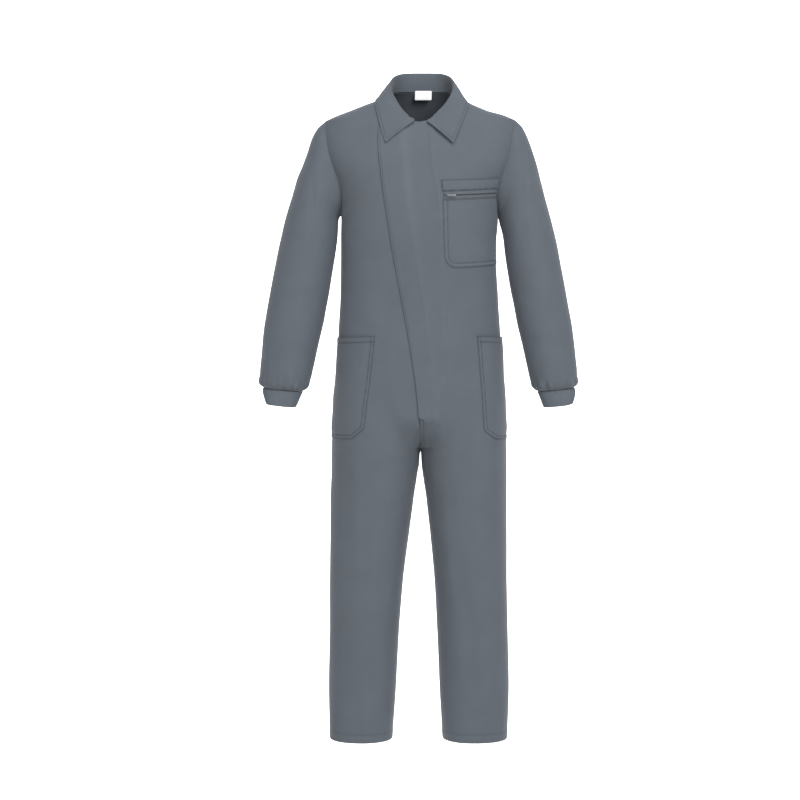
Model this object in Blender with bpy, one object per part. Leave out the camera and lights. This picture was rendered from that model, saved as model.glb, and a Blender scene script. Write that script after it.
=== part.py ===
"""Boiler suit, filled out as if worn, built panel by panel.

Tables and lengths are in millimetres and are scaled to metres as each mesh
is made.  Every piece of cloth is a closed wall WALL thick: its outer face
follows a surface worked out from the section tables, and its inner face lies
one wall further in.  Neighbouring pieces keep a small gap at their seams.
Pockets, zip and label are made from the points of the panel they lie on,
moved out from it.
"""

import math

import bmesh
import bpy
import numpy as np

for old in list(bpy.data.objects):
    bpy.data.objects.remove(old, do_unlink=True)

MM = 0.001
SMOOTH = False                   # the halves differ in straight steps from row to row

# ---------------------------------------------------------------- tables (mm)
# +X is the wearer's left, -Y the front, +Z up.  z = 0 is the level of the
# neck points, where the shoulder seams meet the collar.

class Table:
    """Rows with named columns; the first column is the one looked up."""

    def __init__(self, names, rows):
        self.names = names.split()
        self.rows = np.array(sorted(rows), float)

    def at(self, name, key):
        """Smooth value of a column at a key, with no overshoot between rows."""
        x = self.rows[:, 0]
        y = self.rows[:, self.names.index(name)]
        key = np.clip(np.asarray(key, float), x[0], x[-1])
        step = np.diff(x)
        rise = np.diff(y) / step
        slope = np.zeros(len(x))
        slope[0], slope[-1] = rise[0], rise[-1]
        same = rise[:-1] * rise[1:] > 0
        w0, w1 = 2 * step[1:] + step[:-1], step[1:] + 2 * step[:-1]
        with np.errstate(divide="ignore", invalid="ignore"):
            mean = (w0 + w1) / (w0 / rise[:-1] + w1 / rise[1:])
        slope[1:-1] = np.where(same, mean, 0.0)
        i = np.clip(np.searchsorted(x, key, side="right") - 1, 0, len(x) - 2)
        h = step[i]
        f = (key - x[i]) / h
        return (
            y[i] * (1 + 2 * f) * (1 - f) ** 2
            + slope[i] * h * f * (1 - f) ** 2
            + y[i + 1] * f * f * (3 - 2 * f)
            + slope[i + 1] * h * f * f * (f - 1)
        )


# Body from the underarm to the crotch: half width, depth before and behind
# the plane of the side seams.
BODY = Table("z width front back", [
    (-275, 181, 128, 122),
    (-330, 180, 127, 117),
    (-400, 180.5, 122, 108),
    (-470, 182.5, 118, 104),
    (-540, 187, 119, 112),
    (-600, 190, 122, 124),
    (-660, 194.5, 124, 133),
    (-720, 199, 124, 136),
    (-780, 201.5, 122, 133),
    (-814, 202.5, 120, 129),
])
# Chest and shoulders above the underarm.
CHEST = Table("z front back", [
    (-275, 128, 122),
    (-232, 125, 124),
    (-195, 120, 124),
    (-141, 110, 120),
    (-100, 99, 113),
    (-73, 90, 105),
    (-52, 80, 96),
    (-36, 70, 88),
    (-20, 58, 79),
    (-6, 47, 70),
    (6, 38, 62),
])
# Shoulder seam: how far out it is at each height.
SHOULDER = Table("z out", [
    (6, 75), (-4, 97), (-13, 118), (-21, 138), (-30, 160), (-40, 187), (-52, 222),
])
# Armhole seam, as seen from the front.
ARMHOLE = Table("z out", [
    (-52, 222), (-75, 218), (-105, 213.5), (-135, 207), (-165, 197),
    (-185, 189), (-205, 183), (-228, 180), (-250, 180), (-275, 181),
])
# Front neckline: distance from the centre.
NECKLINE = Table("z out", [
    (-57, 0), (-55.5, 12), (-51, 27), (-42, 43), (-26, 59), (-10, 69), (0, 73.3), (6, 75),
])
# Each leg: centre, half width, depths, and how far its middle lies back.
LEG = Table("z centre half front back mid", [
    (-600, 95, 95, 121, 124, 0),
    (-700, 99, 98.7, 123, 132, 0),
    (-814, 102, 101.6, 119, 122, 0),
    (-859, 103.6, 100.2, 115, 114, 1),
    (-934, 110.5, 94.2, 108, 106, 1),
    (-1029, 116.8, 88.2, 100, 99, -1),
    (-1143, 124, 83.2, 92, 93, -2),
    (-1258, 128.6, 81.6, 87, 89, 2),
    (-1373, 132.5, 79.8, 83, 85, 6),
    (-1508, 135, 75, 79, 80, 6),
])
# Left front's diagonal edge, right of the centre; right front's hidden edge.
OVERLAP = Table("z out", [
    (-58, 84), (-66, 91), (-79, 95.5), (-115, 94.5), (-161, 90), (-209, 84),
    (-259, 76), (-360, 59.5), (-488, 36.5), (-547, 26), (-619, 15), (-704, 4.5), (-737, 2.6),
])
UNDERLAP = Table("z out", [(-58, 34), (-75, 37), (-640, 37), (-700, 20), (-737, 4)])
# Sleeve rings from the armhole to the cuff: outer and inner point seen from
# the front, depths before and behind, and where the ring's middle lies.
SLEEVE = Table("ring out_x out_z in_x in_z front back mid", [
    (0, 222, -52, 181, -275, 55, 58, 0),
    (1, 238.5, -66, 184.6, -278, 60, 62, 0),
    (2, 251.5, -90, 187.0, -283.5, 64, 66, 0),
    (3, 264, -130, 188.6, -291, 68, 69, -1),
    (4, 277.5, -177, 190.4, -302, 70, 71, -2),
    (5, 291.5, -225, 193.5, -321, 71, 71, -3),
    (6, 305.5, -271, 197.5, -351, 70, 70, -4),
    (7, 319.5, -326, 204.5, -394, 69, 69, -6),
    (8, 333.5, -393, 213.5, -450, 68, 67, -9),
    (9, 347, -463, 227, -510, 66, 65, -13),
    (10, 358.5, -533, 241.5, -568, 64, 63, -18),
    (11, 365.5, -596, 253, -622, 61.5, 60.5, -23),
    (12, 369, -637, 259.5, -654, 58, 57, -26),
    (13, 369, -660, 265.5, -672, 51, 50, -28),
    (14, 362.5, -673, 274, -682, 43.5, 42.5, -29),
])
CUFF = Table("ring out_x out_z in_x in_z front back mid", [
    (0, 362.5, -673.8, 274.4, -682.8, 42.5, 41.5, -29),
    (1, 363.2, -684, 278, -692, 41, 40.5, -30),
    (2, 361.5, -698, 284, -706.5, 39, 38.5, -31.5),
    (3, 358.5, -711.5, 289.5, -719.5, 36, 35.5, -33),
])
# Collar, from the centre back (0) to the front end (1): fold line, then the
# leaf's lower edge.
COLLAR = Table("along fold_x fold_y fold_z edge_x edge_y edge_z", [
    (0.00, 0, 64, 61, 0, 83, 7),
    (0.14, 28, 61, 61, 34, 79.5, 5),
    (0.28, 54, 45, 57.5, 66, 64, 1),
    (0.40, 70, 18, 46, 90, 38, -1),
    (0.52, 74, -8, 28, 106, 4, -2.5),
    (0.63, 66.5, -33, 7, 110, -28, -10),
    (0.75, 50, -60, -21, 104.5, -61, -31),
    (0.88, 30, -79, -44, 93, -88, -66),
    (1.00, 14.5, -90.5, -55.5, 78, -105.5, -105),
])

ROUND = 2.4                      # squareness of the body's sections
FRONT_LINES = (20.0, 39.0, 53.0)  # the first lines of the grid, from the centre
ROUND_LEG = 2.2
HEM_Z, CROTCH_Z, FLY_Z, ARM_Z, TIP_Z, CF_Z, NECK_Z = -1508, -814, -737, -275, -52, -57, 6
ARM_MID, ARM_HALF = (ARM_Z + TIP_Z) / 2, (TIP_Z - ARM_Z) / 2
ARM_FRONT, ARM_BACK = 55.0, 58.0  # how far the armhole reaches forward and back
ARM_AXIS = np.array([0.985, 0.0, -0.173])
BACK_RISE = 9.0                  # the back neck stands higher than its sides
NECK_SHIFT = 7.0                 # the neck sits a little to the wearer's left
WALL = 1.6
SEAM = 0.2                       # half of the gap at a seam
LIFT_ZIP = 3.9                   # left front over the concealed zip
LIFT_OVER = 2.5                  # left front over the right front alone


def ease(x):
    x = np.clip(x, 0.0, 1.0)
    return x * x * (3 - 2 * x)


def power(value, exponent):
    return np.sign(value) * np.abs(value) ** exponent


def armhole_depth(z, face):
    """How far before (face -1) or behind (+1) the armhole seam lies at z."""
    c = np.clip((z - ARM_MID) / ARM_HALF, -1, 1)
    return np.sqrt(1 - c * c) * (ARM_FRONT if face < 0 else ARM_BACK)


def depth_at(z, face):
    name = "front" if face < 0 else "back"
    return np.where(z < ARM_Z, BODY.at(name, z), CHEST.at(name, z))


def width_at(z, face):
    """Half width of the section that the panel follows at z."""
    d = depth_at(z, face)
    y = armhole_depth(z, face)
    arm = ARMHOLE.at("out", z) / (1 - (y / d) ** ROUND) ** (1 / ROUND)
    return np.where(z < ARM_Z, BODY.at("width", z), np.where(z > TIP_Z, SHOULDER.at("out", z), arm))


def turn_of(x, z, face):
    """The angle round the section, from the centre, of a point at x."""
    return np.arcsin(np.clip(x / width_at(z, face), 0, 1) ** (ROUND / 2))


def outer_turn(z, face):
    """The angle at which the panel ends: side seam, armhole or shoulder."""
    y = armhole_depth(z, face) / depth_at(z, face)
    return np.where((z > ARM_Z) & (z < TIP_Z), np.arccos(np.clip(y, 0, 1) ** (ROUND / 2)), math.pi / 2)


def leg_share(u):
    """x of a leg's section at the crotch, as a share of the body's width."""
    c, r = 102.0, 101.6
    x = (c - r * power(np.cos(math.pi * u), 2 / ROUND_LEG)) / (c + r)
    x0 = (c - r) / (c + r)
    return np.clip((x - x0) / (1 - x0), 0, 1)


def body_point(u, z, face):
    """Outer face of the left half: u is 0 at the centre and 1 at the side.
    Past the centre, on the overlap or the underlap, u is minus the angle."""
    u, z = np.broadcast_arrays(np.asarray(u, float), np.asarray(z, float))
    main = np.clip(u, 0, 1)
    start = np.where(z > CF_Z, turn_of(NECKLINE.at("out", z), z, face), 0.0) if face < 0 else 0.0 * z
    end = outer_turn(z, face)
    knots = [start]
    for k in range(1, 9):
        near = turn_of(FRONT_LINES[min(k, 3) - 1], z, face)
        if k > 3:
            near = near + (end - near) * (k - 3) / 5
        knots.append(np.maximum(near, start + (end - start) * 0.06 * k) if k < 8 else end)
    turn = knots[0]
    for k in range(8):
        turn = turn + (knots[k + 1] - knots[k]) * np.clip(main * 8 - k, 0, 1)
    legs = np.arcsin(leg_share(main) ** (ROUND / 2))
    turn = turn + (legs - turn) * ease((-z - 470) / 130)
    over = np.where(u < 0, 1.0, 0.0)
    turn = turn * (1 - over) + u * over
    a, d = width_at(z, face), depth_at(z, face)
    x = a * power(np.sin(turn), 2 / ROUND)
    y = face * d * np.abs(np.cos(turn)) ** (2 / ROUND)
    # legs
    centre, half, mid = LEG.at("centre", z), LEG.at("half", z), LEG.at("mid", z)
    reach = LEG.at("front" if face < 0 else "back", z)
    lx = centre - half * power(np.cos(math.pi * main), 2 / ROUND_LEG)
    ly = mid + face * reach * np.abs(np.sin(math.pi * main)) ** (2 / ROUND_LEG)
    top = FLY_Z if face < 0 else -705.0
    first = top + (-600 - top) * ease((main - 0.25) / 0.4)
    f = np.clip((first - z) / (first - CROTCH_Z), 0, 1)
    sharp = 1 - (1 - f ** 2) ** 0.6
    w = sharp + (ease(f) - sharp) * ease(main / 0.3)
    w = np.where(u < 0, 0.0, w)
    x, y = x + (lx - x) * w, y + (ly - y) * w
    # the back neck rises
    if face > 0:
        z = z + BACK_RISE * ease(y / 55) * ease((z + 60) / 66)
    return np.stack([x, y, z + 0.0 * x], -1)


def body_normal(u, z, face):
    """Outward direction of body_point, from its neighbours."""
    u, z = np.broadcast_arrays(np.asarray(u, float), np.asarray(z, float))
    du, dz = 0.03, 1.0
    hi, lo = HEM_Z, NECK_Z
    main = u >= 0
    u1 = np.where(main, np.clip(u + du, 0, 1), u + du)
    u0 = np.where(main, np.clip(u - du, 0, 1), u - du)
    u1 = np.where(~main & (u1 > -1e-6), -1e-6, u1)
    z1, z0 = np.clip(z + dz, hi, lo), np.clip(z - dz, hi, lo)
    n = np.cross(
        body_point(u1, z, face) - body_point(u0, z, face),
        body_point(u, z1, face) - body_point(u, z0, face),
    )
    if face > 0:
        n = -n
    size = np.linalg.norm(n, axis=-1, keepdims=True)
    return n / np.maximum(size, 1e-12)


def armhole(phi):
    """The armhole seam: phi 0 at the shoulder, pi at the underarm, through
    the front."""
    phi = np.asarray(phi, float)
    z = ARM_MID + ARM_HALF * np.cos(phi)
    s = np.sin(phi)
    y = np.where(s > 0, -ARM_FRONT * s, -ARM_BACK * s)
    return np.stack([ARMHOLE.at("out", z), y, z], -1)


def ring_point(table, ring, phi):
    ring, phi = np.broadcast_arrays(np.asarray(ring, float), np.asarray(phi, float))
    ox, oz, ix, iz, mid = (table.at(k, ring) for k in ("out_x", "out_z", "in_x", "in_z", "mid"))
    c, s = np.cos(phi), np.sin(phi)
    deep = np.where(s > 0, table.at("front", ring), table.at("back", ring))
    return np.stack([
        (ox + ix) / 2 + (ox - ix) / 2 * c,
        mid - deep * s,
        (oz + iz) / 2 + (oz - iz) / 2 * c,
    ], -1)


def sleeve_point(ring, phi):
    """Outer face of the left sleeve; ring 0 is the armhole seam itself."""
    ring, phi = np.broadcast_arrays(np.asarray(ring, float), np.asarray(phi, float))
    p = ring_point(SLEEVE, ring, phi)
    fade = np.clip(1 - ring / 4.0, 0, 1) ** 2
    return p + (armhole(phi) - ring_point(SLEEVE, 0.0, phi)) * fade[..., None]


def cuff_point(ring, phi):
    return ring_point(CUFF, ring, phi)


def tube_normal(point, ring, phi, last):
    ring, phi = np.broadcast_arrays(np.asarray(ring, float), np.asarray(phi, float))
    r1, r0 = np.clip(ring + 0.1, 0, last), np.clip(ring - 0.1, 0, last)
    n = np.cross(
        point(ring, phi + 0.02) - point(ring, phi - 0.02),
        point(r1, phi) - point(r0, phi),
    )
    n /= np.maximum(np.linalg.norm(n, axis=-1, keepdims=True), 1e-12)
    return n


def neck_point(along):
    """The neck seam: 0 at the centre back, 0.5 at the shoulder, 1 at the
    centre front."""
    along = np.asarray(along, float)
    back = body_point(np.clip(along / 0.5, 0, 1), NECK_Z, 1)
    z = NECK_Z + (CF_Z - NECK_Z) * np.clip((along - 0.5) / 0.5, 0, 1) ** 1.25
    front = body_point(0.0, z, -1)
    return np.where((along < 0.5)[..., None], back, front)


def shoulder_samples():
    """Points and normals all over the shoulders, for what rests on them."""
    found = []
    for face in (-1, 1):
        z = np.concatenate([np.linspace(-150, -10, 57), np.linspace(-9, NECK_Z - 0.3, 20)])[:, None]
        u = np.concatenate([np.linspace(0, 0.9, 55), np.linspace(0.91, 1, 22)])[None, :]
        p, n = body_point(u, z, face), body_normal(u, z, face)
        found.append((p.reshape(-1, 3), n.reshape(-1, 3)))
    return np.concatenate([f[0] for f in found]), np.concatenate([f[1] for f in found])


def lift_at(x, z):
    """How far the left front stands off, x being its own distance from the
    centre, positive on its own side."""
    high = LIFT_OVER + (LIFT_ZIP - LIFT_OVER) * ease((x + 42) / 12)
    high = high * (1 - ease((x - 39) / 13))
    return high * ease((z + 764) / 26)


def rest_on(p, side, gap):
    """Moves the left-half points p out until they are gap clear of the
    fronts and backs below; side tells which half of the suit it is."""
    p = np.array(p, float)
    flat = p.reshape(-1, 3)
    q, n = SHOULDERS
    for i, one in enumerate(flat):
        away = one - q
        k = np.argmin((away ** 2).sum(1))
        need = gap
        x, z = one[0], one[2]
        if one[1] < 0:
            if side > 0:
                need += float(lift_at(x, z))
            else:
                need += float(lift_at(-x, z) * (1 - ease((x - OVERLAP.at("out", z) - 6) / 8)) * ease((-36 - z) / 8))
        off = away[k] @ n[k]
        if off < need:
            flat[i] = one + n[k] * (need - off)
    return p


# The two halves are not quite alike.  How far the leg's inner line, the side,
# and the sleeve's inner and outer lines move away from the suit's middle, on
# the wearer's right (-1) and left (1).
UNLIKE = {
    -1: Table("z leg side sleeve_in sleeve_out", [
        (6, 0, 0, 0, 0), (-52, 0, 0, 0, -2), (-88, 0, 0, 0, -2), (-120, 0, 0, 0, -2), (-155, 0, 0, 0, 0.5),
        (-190, 0, 0, 0, 5), (-275, 0, 1, 1, 5), (-330, 0, 3, -3.7, 4), (-400, 0, 3, -3.7, 4.2),
        (-470, 0, 2.2, -4.4, 4.2), (-540, 0, 1.6, -7.4, 4.2), (-600, 0, 0.4, -7.9, 3.0), (-660, 0, 0.8, -6.0, 3.6),
        (-700, 0, 2.2, -1.0, 0), (-762, -1.5, 2.4, 0, 0), (-814, -3.8, 2.4, 0, 0), (-868, -3.4, 2.7, 0, 0),
        (-934, -4.4, 4.2, 0, 0), (-1029, -3.8, 4.0, 0, 0), (-1143, -2.6, 3.2, 0, 0), (-1258, 0.4, 1.2, 0, 0),
        (-1380, 0.9, 1.6, 0, 0), (-1508, 2.8, 1.2, 0, 0),
    ]),
    1: Table("z leg side sleeve_in sleeve_out", [
        (6, 0, 0, 0, 0), (-52, 0, 0, 0, 0), (-88, 0, 0, 0, 1), (-120, 0, 0, 0, 2.6), (-155, 0, 0, 0, 3.4),
        (-190, 0, 0, 0, 2.2), (-275, 0, -1, -1, 0), (-330, 0, -2.8, 1.9, 0), (-400, 0, 1.2, 0.8, -1.4),
        (-470, 0, 3.8, 0.8, -1.5), (-540, 0, 3.6, -1.9, 0), (-600, 0, 4.8, -1.6, 0), (-660, 0, 4.6, -0.5, 0.8),
        (-700, 0, 3.6, 2.8, 0.8), (-762, 1.5, 2.5, 0, 0), (-814, 3.8, 2.4, 0, 0), (-868, 1.9, 2.9, 0, 0),
        (-934, 0, 2.2, 0, 0), (-1029, -0.9, 2.4, 0, 0), (-1143, -2.6, 1.2, 0, 0), (-1258, -2.7, 1.0, 0, 0),
        (-1380, -3.4, 1.2, 0, 0), (-1508, -3.6, -0.4, 0, 0),
    ]),
}
SLEEVE_IN = np.array([(-z, x) for _, _, _, x, z, *_ in SLEEVE.rows])
SLEEVE_OUT = np.array([(-z, x) for _, x, z, *_ in SLEEVE.rows])


def unlike(half, name, z):
    table = UNLIKE[half]
    if SMOOTH:
        return table.at(name, z)
    return np.interp(z, table.rows[:, 0], table.rows[:, table.names.index(name)])


def settle(p):
    """The whole suit as it sits: the neck a little to the wearer's left, and
    each half with its own ease."""
    p = np.array(p, float)
    x, z = p[..., 0].copy(), p[..., 2]
    away = np.abs(x)
    leg = np.where(z < CROTCH_Z, LEG.at("centre", z) - LEG.at("half", z), 0.0)
    side = np.where(z < CROTCH_Z, LEG.at("centre", z) + LEG.at("half", z), BODY.at("width", z))
    side = np.where(z > ARM_Z, ARMHOLE.at("out", z), side)
    inner = np.maximum(np.interp(-z, *SLEEVE_IN.T), side + 0.5)
    outer = np.maximum(np.interp(-z, *SLEEVE_OUT.T), inner + 10.0)
    lines = (leg, side, inner, outer)
    for half in (-1, 1):
        here = (x < 0) if half < 0 else (x >= 0)
        moves = [unlike(half, name, z) for name in ("leg", "side", "sleeve_in", "sleeve_out")]
        moves[2] = np.where(z > ARM_Z, moves[1], moves[2])
        move = moves[0]
        for k in range(3):
            move = move + (moves[k + 1] - moves[k]) * np.clip((away - lines[k]) / np.maximum(lines[k + 1] - lines[k], 1e-6), 0, 1)
        p[..., 0] += np.where(here, half * move, 0.0)
    p[..., 0] += NECK_SHIFT * ease((p[..., 2] + 110) / 130)
    return p


SHOULDERS = shoulder_samples()

# ------------------------------------------------------------ mesh building

def material(name, color, roughness, metallic=0.0):
    made = bpy.data.materials.new(name)
    made.use_nodes = True
    shader = made.node_tree.nodes["Principled BSDF"]
    shader.inputs["Base Color"].default_value = (*color, 1.0)
    shader.inputs["Roughness"].default_value = roughness
    shader.inputs["Metallic"].default_value = metallic
    made.diffuse_color = (*color, 1.0)
    return made


SUIT = bpy.data.objects.new("boiler_suit", None)
bpy.context.scene.collection.objects.link(SUIT)


def object_of(name, mesh, look, parent=SUIT, sharp=50):
    mesh.materials.append(look)
    mesh.shade_smooth()
    mesh.set_sharp_from_angle(angle=math.radians(sharp))
    made = bpy.data.objects.new(name, mesh)
    bpy.context.scene.collection.objects.link(made)
    made.parent = parent
    return made


def wall(name, outer, inner, cells, look):
    """A closed wall between two faces that share one grid.

    outer and inner are point arrays of equal shape, and cells holds the
    grid's quads by flat index, counter-clockwise from outside."""
    outer = settle(outer).reshape(-1, 3) * MM
    inner = settle(inner).reshape(-1, 3) * MM
    used = sorted({i for cell in cells for i in cell})
    edges = {}
    bm = bmesh.new()
    out = {i: bm.verts.new(outer[i]) for i in used}
    ins = {i: bm.verts.new(inner[i]) for i in used}
    for a, b, c, d in cells:
        for tri in ((a, b, c), (a, c, d)):
            if len(set(tri)) == 3:
                bm.faces.new([out[i] for i in tri])
                bm.faces.new([ins[i] for i in reversed(tri)])
        for e in ((a, b), (b, c), (c, d), (d, a)):
            if e[0] != e[1]:
                edges[e] = edges.get(e, 0) + 1
    for a, b in edges:
        if (b, a) not in edges:
            bm.faces.new([out[b], out[a], ins[a]])
            bm.faces.new([out[b], ins[a], ins[b]])
    bmesh.ops.recalc_face_normals(bm, faces=bm.faces)
    mesh = bpy.data.meshes.new(name)
    bm.to_mesh(mesh)
    bm.free()
    return object_of(name, mesh, look)


def grid_cells(rows, columns, closed=False, keep=None):
    cells = []
    for j in range(rows - 1):
        for i in range(columns if closed else columns - 1):
            if keep is None or keep(j, i):
                k = (i + 1) % columns
                cells.append((j * columns + i, j * columns + k, (j + 1) * columns + k, (j + 1) * columns + i))
    return cells


# ------------------------------------------------------------------- panels

ROWS_LEG = (-1508, -1380, -1258, -1143, -1029, -934, -868)
ROWS_SEAT = (-814, -803, -786, -762, -737, -700, -660, -600, -540, -470, -400, -330)
ROWS_CHEST = (-275, -268, -250, -222, -190, -155, -120, -88, -66, -58, -52)
ROWS_SHOULDER = (-42, -30, -17, -5)
MAIN_COLUMNS = 9                 # points from the centre edge to the side
OVER_COLUMNS = 3                 # more points past the centre, on the overlap


def seam_turn(z, face, side):
    """Direction of the wall's thickness along the armhole, shared by the
    panel and the sleeve."""
    phi = np.arccos(np.clip((z - ARM_MID) / ARM_HALF, -1, 1))
    if face > 0:
        phi = -phi
    n = body_normal(1.0, z, face) + tube_normal(sleeve_point, 0.0, phi, 14)
    return n / np.maximum(np.linalg.norm(n, axis=-1, keepdims=True), 1e-9)


GRIDS = {}                       # each front's outer points, for what lies on it


def panel(name, side, face, look):
    """One front or back, from hem to shoulder; side is +1 for the wearer's
    left and -1 for the right."""
    front = face < 0
    rows = np.array(ROWS_LEG + ROWS_SEAT + ROWS_CHEST + ROWS_SHOULDER + ((4.8,) if front else (6,)), float)
    main = np.linspace(0, 1, MAIN_COLUMNS)
    columns = MAIN_COLUMNS + (OVER_COLUMNS if front else 0)
    u = np.zeros((len(rows), columns))
    u[:, columns - MAIN_COLUMNS:] = main
    if front:
        edge = (OVERLAP if side > 0 else UNDERLAP).at("out", rows)
        turn = turn_of(edge, rows, face)
        for i in range(OVER_COLUMNS):
            u[:, i] = -np.maximum(turn * (1 - i / OVER_COLUMNS), 1e-4)
    z = np.repeat(rows[:, None], columns, 1)
    p = body_point(u, z, face)
    n = body_normal(u, z, face)
    lift = lift_at(p[..., 0], z)[..., None] if front and side > 0 else 0.0
    outer = p + n * lift
    if front:
        GRIDS[side] = rows, outer[:, columns - MAIN_COLUMNS:].copy(), n[:, columns - MAIN_COLUMNS:].copy()
    thick = n * WALL
    arm = (rows > ARM_Z - 1) & (rows < TIP_Z)
    thick[arm, -1] = seam_turn(rows[arm], face, side) * WALL
    shift = np.zeros_like(p)
    shift[:, -1, 1] += face * SEAM
    shift[arm, -1] -= ARM_AXIS * SEAM
    first = columns - MAIN_COLUMNS
    low = rows <= (FLY_Z if front else 1e9)
    shift[low, first, 0] += SEAM
    legs = rows <= CROTCH_Z
    shift[legs, first, 1] += face * SEAM
    outer, inner = outer + shift, outer + shift - thick
    if side < 0:
        outer, inner = outer * [-1, 1, 1], inner * [-1, 1, 1]

    def keep(j, i):
        return i >= first or (rows[j] >= FLY_Z and rows[j + 1] <= -58)

    cells = grid_cells(len(rows), columns, keep=keep)
    if side * face > 0:
        cells = [cell[::-1] for cell in cells]
    return wall(name, outer, inner, cells, look)


def tube(name, point, rings, phi, side, look, last, start_gap=None):
    around = len(phi)
    ring = np.array(rings, float)[:, None]
    p = point(ring, phi[None, :])
    n = tube_normal(point, ring, phi[None, :], last)
    thick = n * WALL
    if start_gap is not None:
        z = ARM_MID + ARM_HALF * np.cos(phi)
        for i in range(around):
            face = -1 if math.sin(phi[i]) >= 0 else 1
            thick[0, i] = seam_turn(z[i], face, side) * WALL
        p[0] += ARM_AXIS * start_gap
    outer, inner = p, p - thick
    if side < 0:
        outer, inner = outer * [-1, 1, 1], inner * [-1, 1, 1]
    cells = grid_cells(len(ring), around, closed=True)
    if side < 0:
        cells = [cell[::-1] for cell in cells]
    return wall(name, outer, inner, cells, look)


# ------------------------------------------------------- what lies on a panel

def u_of(x, z, face):
    """The panel's u where it is x from the centre, row by row."""
    samples = np.linspace(0, 1, 161)
    return np.array([np.interp(a, body_point(samples, b, face)[:, 0], samples) for a, b in zip(x, z)])


def on_grid(side, u, z):
    """Point and normal of a front's own facets at (u, z)."""
    rows, points, normals = GRIDS[side]
    j = np.clip(np.searchsorted(rows, z, side="right") - 1, 0, len(rows) - 2)
    f = ((z - rows[j]) / (rows[j + 1] - rows[j]))[..., None]
    i = np.clip((u * 8).astype(int), 0, 7)
    g = (u * 8 - i)[..., None]
    found = []
    for a in (points, normals):
        low = a[j, i] * (1 - g) + a[j, i + 1] * g
        high = a[j + 1, i] * (1 - g) + a[j + 1, i + 1] * g
        found.append(low * (1 - f) + high * f)
    n = found[1] / np.linalg.norm(found[1], axis=-1, keepdims=True)
    return found[0], n


def on_panel(name, side, low, high, left, rows, out, thick, look, tilt=0.0, flare=0.0, crown=None, end=0.99):
    """A patch on a front, from the line left(z) to near the side seam or
    armhole, with the front's own grid lines.

    low and high are its bottom and top at the left edge, and tilt is how much
    higher it is at the side.  out is how far its back stands off the panel."""
    eta = np.array(rows, float)
    z0 = low + (high - low) * eta
    start = u_of(np.array([left(a) for a in z0]), z0, -1)
    lines = np.array([k / 8 for k in range(1, 8) if k / 8 > start.min() + 0.02] + [end])
    u = np.concatenate([start[:, None], np.repeat(lines[None, :], len(eta), 0)], 1)
    u[:, -1] += (0.99 - end) * ease((-275 - z0) / 60)
    for k in range(1, u.shape[1] - 1):
        u[:, k] = np.maximum(u[:, k], start + 0.012 * k)
    xi = (u - u[:, :1]) / (u[:, -1:] - u[:, :1])
    z = z0[:, None] + tilt * xi
    p, n = on_grid(side, u, z)
    gap = out + flare * ease((eta[:, None] - 0.6) / 0.4) * xi ** 0.5
    gap = gap + 1.7 * ease((u - 0.8) / 0.13) * ease((z0[:, None] + 300) / 25)
    inner = p + n * gap[..., None]
    high_side = thick + (crown(eta[:, None]) if crown else 0.0) + 0 * z
    outer = inner + n * high_side[..., None]
    if side < 0:
        outer, inner = outer * [-1, 1, 1], inner * [-1, 1, 1]
    cells = grid_cells(*z.shape)
    if side < 0:
        cells = [cell[::-1] for cell in cells]
    return wall(name, outer, inner, cells, look)

# ------------------------------------------------------------------- pieces

CLOTH = material("cloth_twill", (0.135, 0.152, 0.175), 0.85)
POCKET = material("cloth_pocket", (0.135, 0.152, 0.175), 0.85)
KNIT = material("rib_knit", (0.135, 0.152, 0.172), 0.9)
TAPE = material("zip_tape", (0.09, 0.1, 0.115), 0.8)
METAL = material("zip_metal", (0.55, 0.56, 0.57), 0.35, 1.0)
WHITE = material("label_cloth", (0.8, 0.81, 0.82), 0.7)

for face, where in ((-1, "front"), (1, "back")):
    panel(f"{where}_left", 1, face, CLOTH)
    panel(f"{where}_right", -1, face, CLOTH)

SLEEVE_RINGS = (0, 0.6, 1.3, 2.2, 3.3, 4.6, 6.2, 8.2, 10.2, 12, 13.1, 14)
CUFF_RINGS = (0, 1, 2, 3)
# The sleeve's lines start where the rows of the fronts and backs end.
HALF_TURN = np.arccos((np.array(ROWS_CHEST[::-1], float) - ARM_MID) / ARM_HALF)
SLEEVE_LINES = np.concatenate([HALF_TURN, 2 * math.pi - HALF_TURN[-2:0:-1]])
CUFF_LINES = np.linspace(0, 2 * math.pi, 18, endpoint=False)
for side, where in ((1, "left"), (-1, "right")):
    tube(f"sleeve_{where}", sleeve_point, SLEEVE_RINGS, SLEEVE_LINES, side, CLOTH, 14, SEAM)
    tube(f"cuff_{where}", cuff_point, CUFF_RINGS, CUFF_LINES, side, KNIT, 3)

# Collar: one folded strip.  Each section runs from the neck seam up the stand,
# over the fold and down the leaf.
COLLAR_WALL = 1.8
COLLAR_ENDS = 0.985              # how far round the neckline its ends come
COLLAR_STATIONS = (0, 0.09, 0.18, 0.27, 0.36, 0.44, 0.52, 0.6, 0.68, 0.76, 0.84, 0.92, 1.0)
LEAF_BULGE = 4.0
COLLAR_CLEAR = 1.3
COLLAR_DRAWN = 6.0               # the left leaf lies nearer the neck over the shoulder


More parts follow.
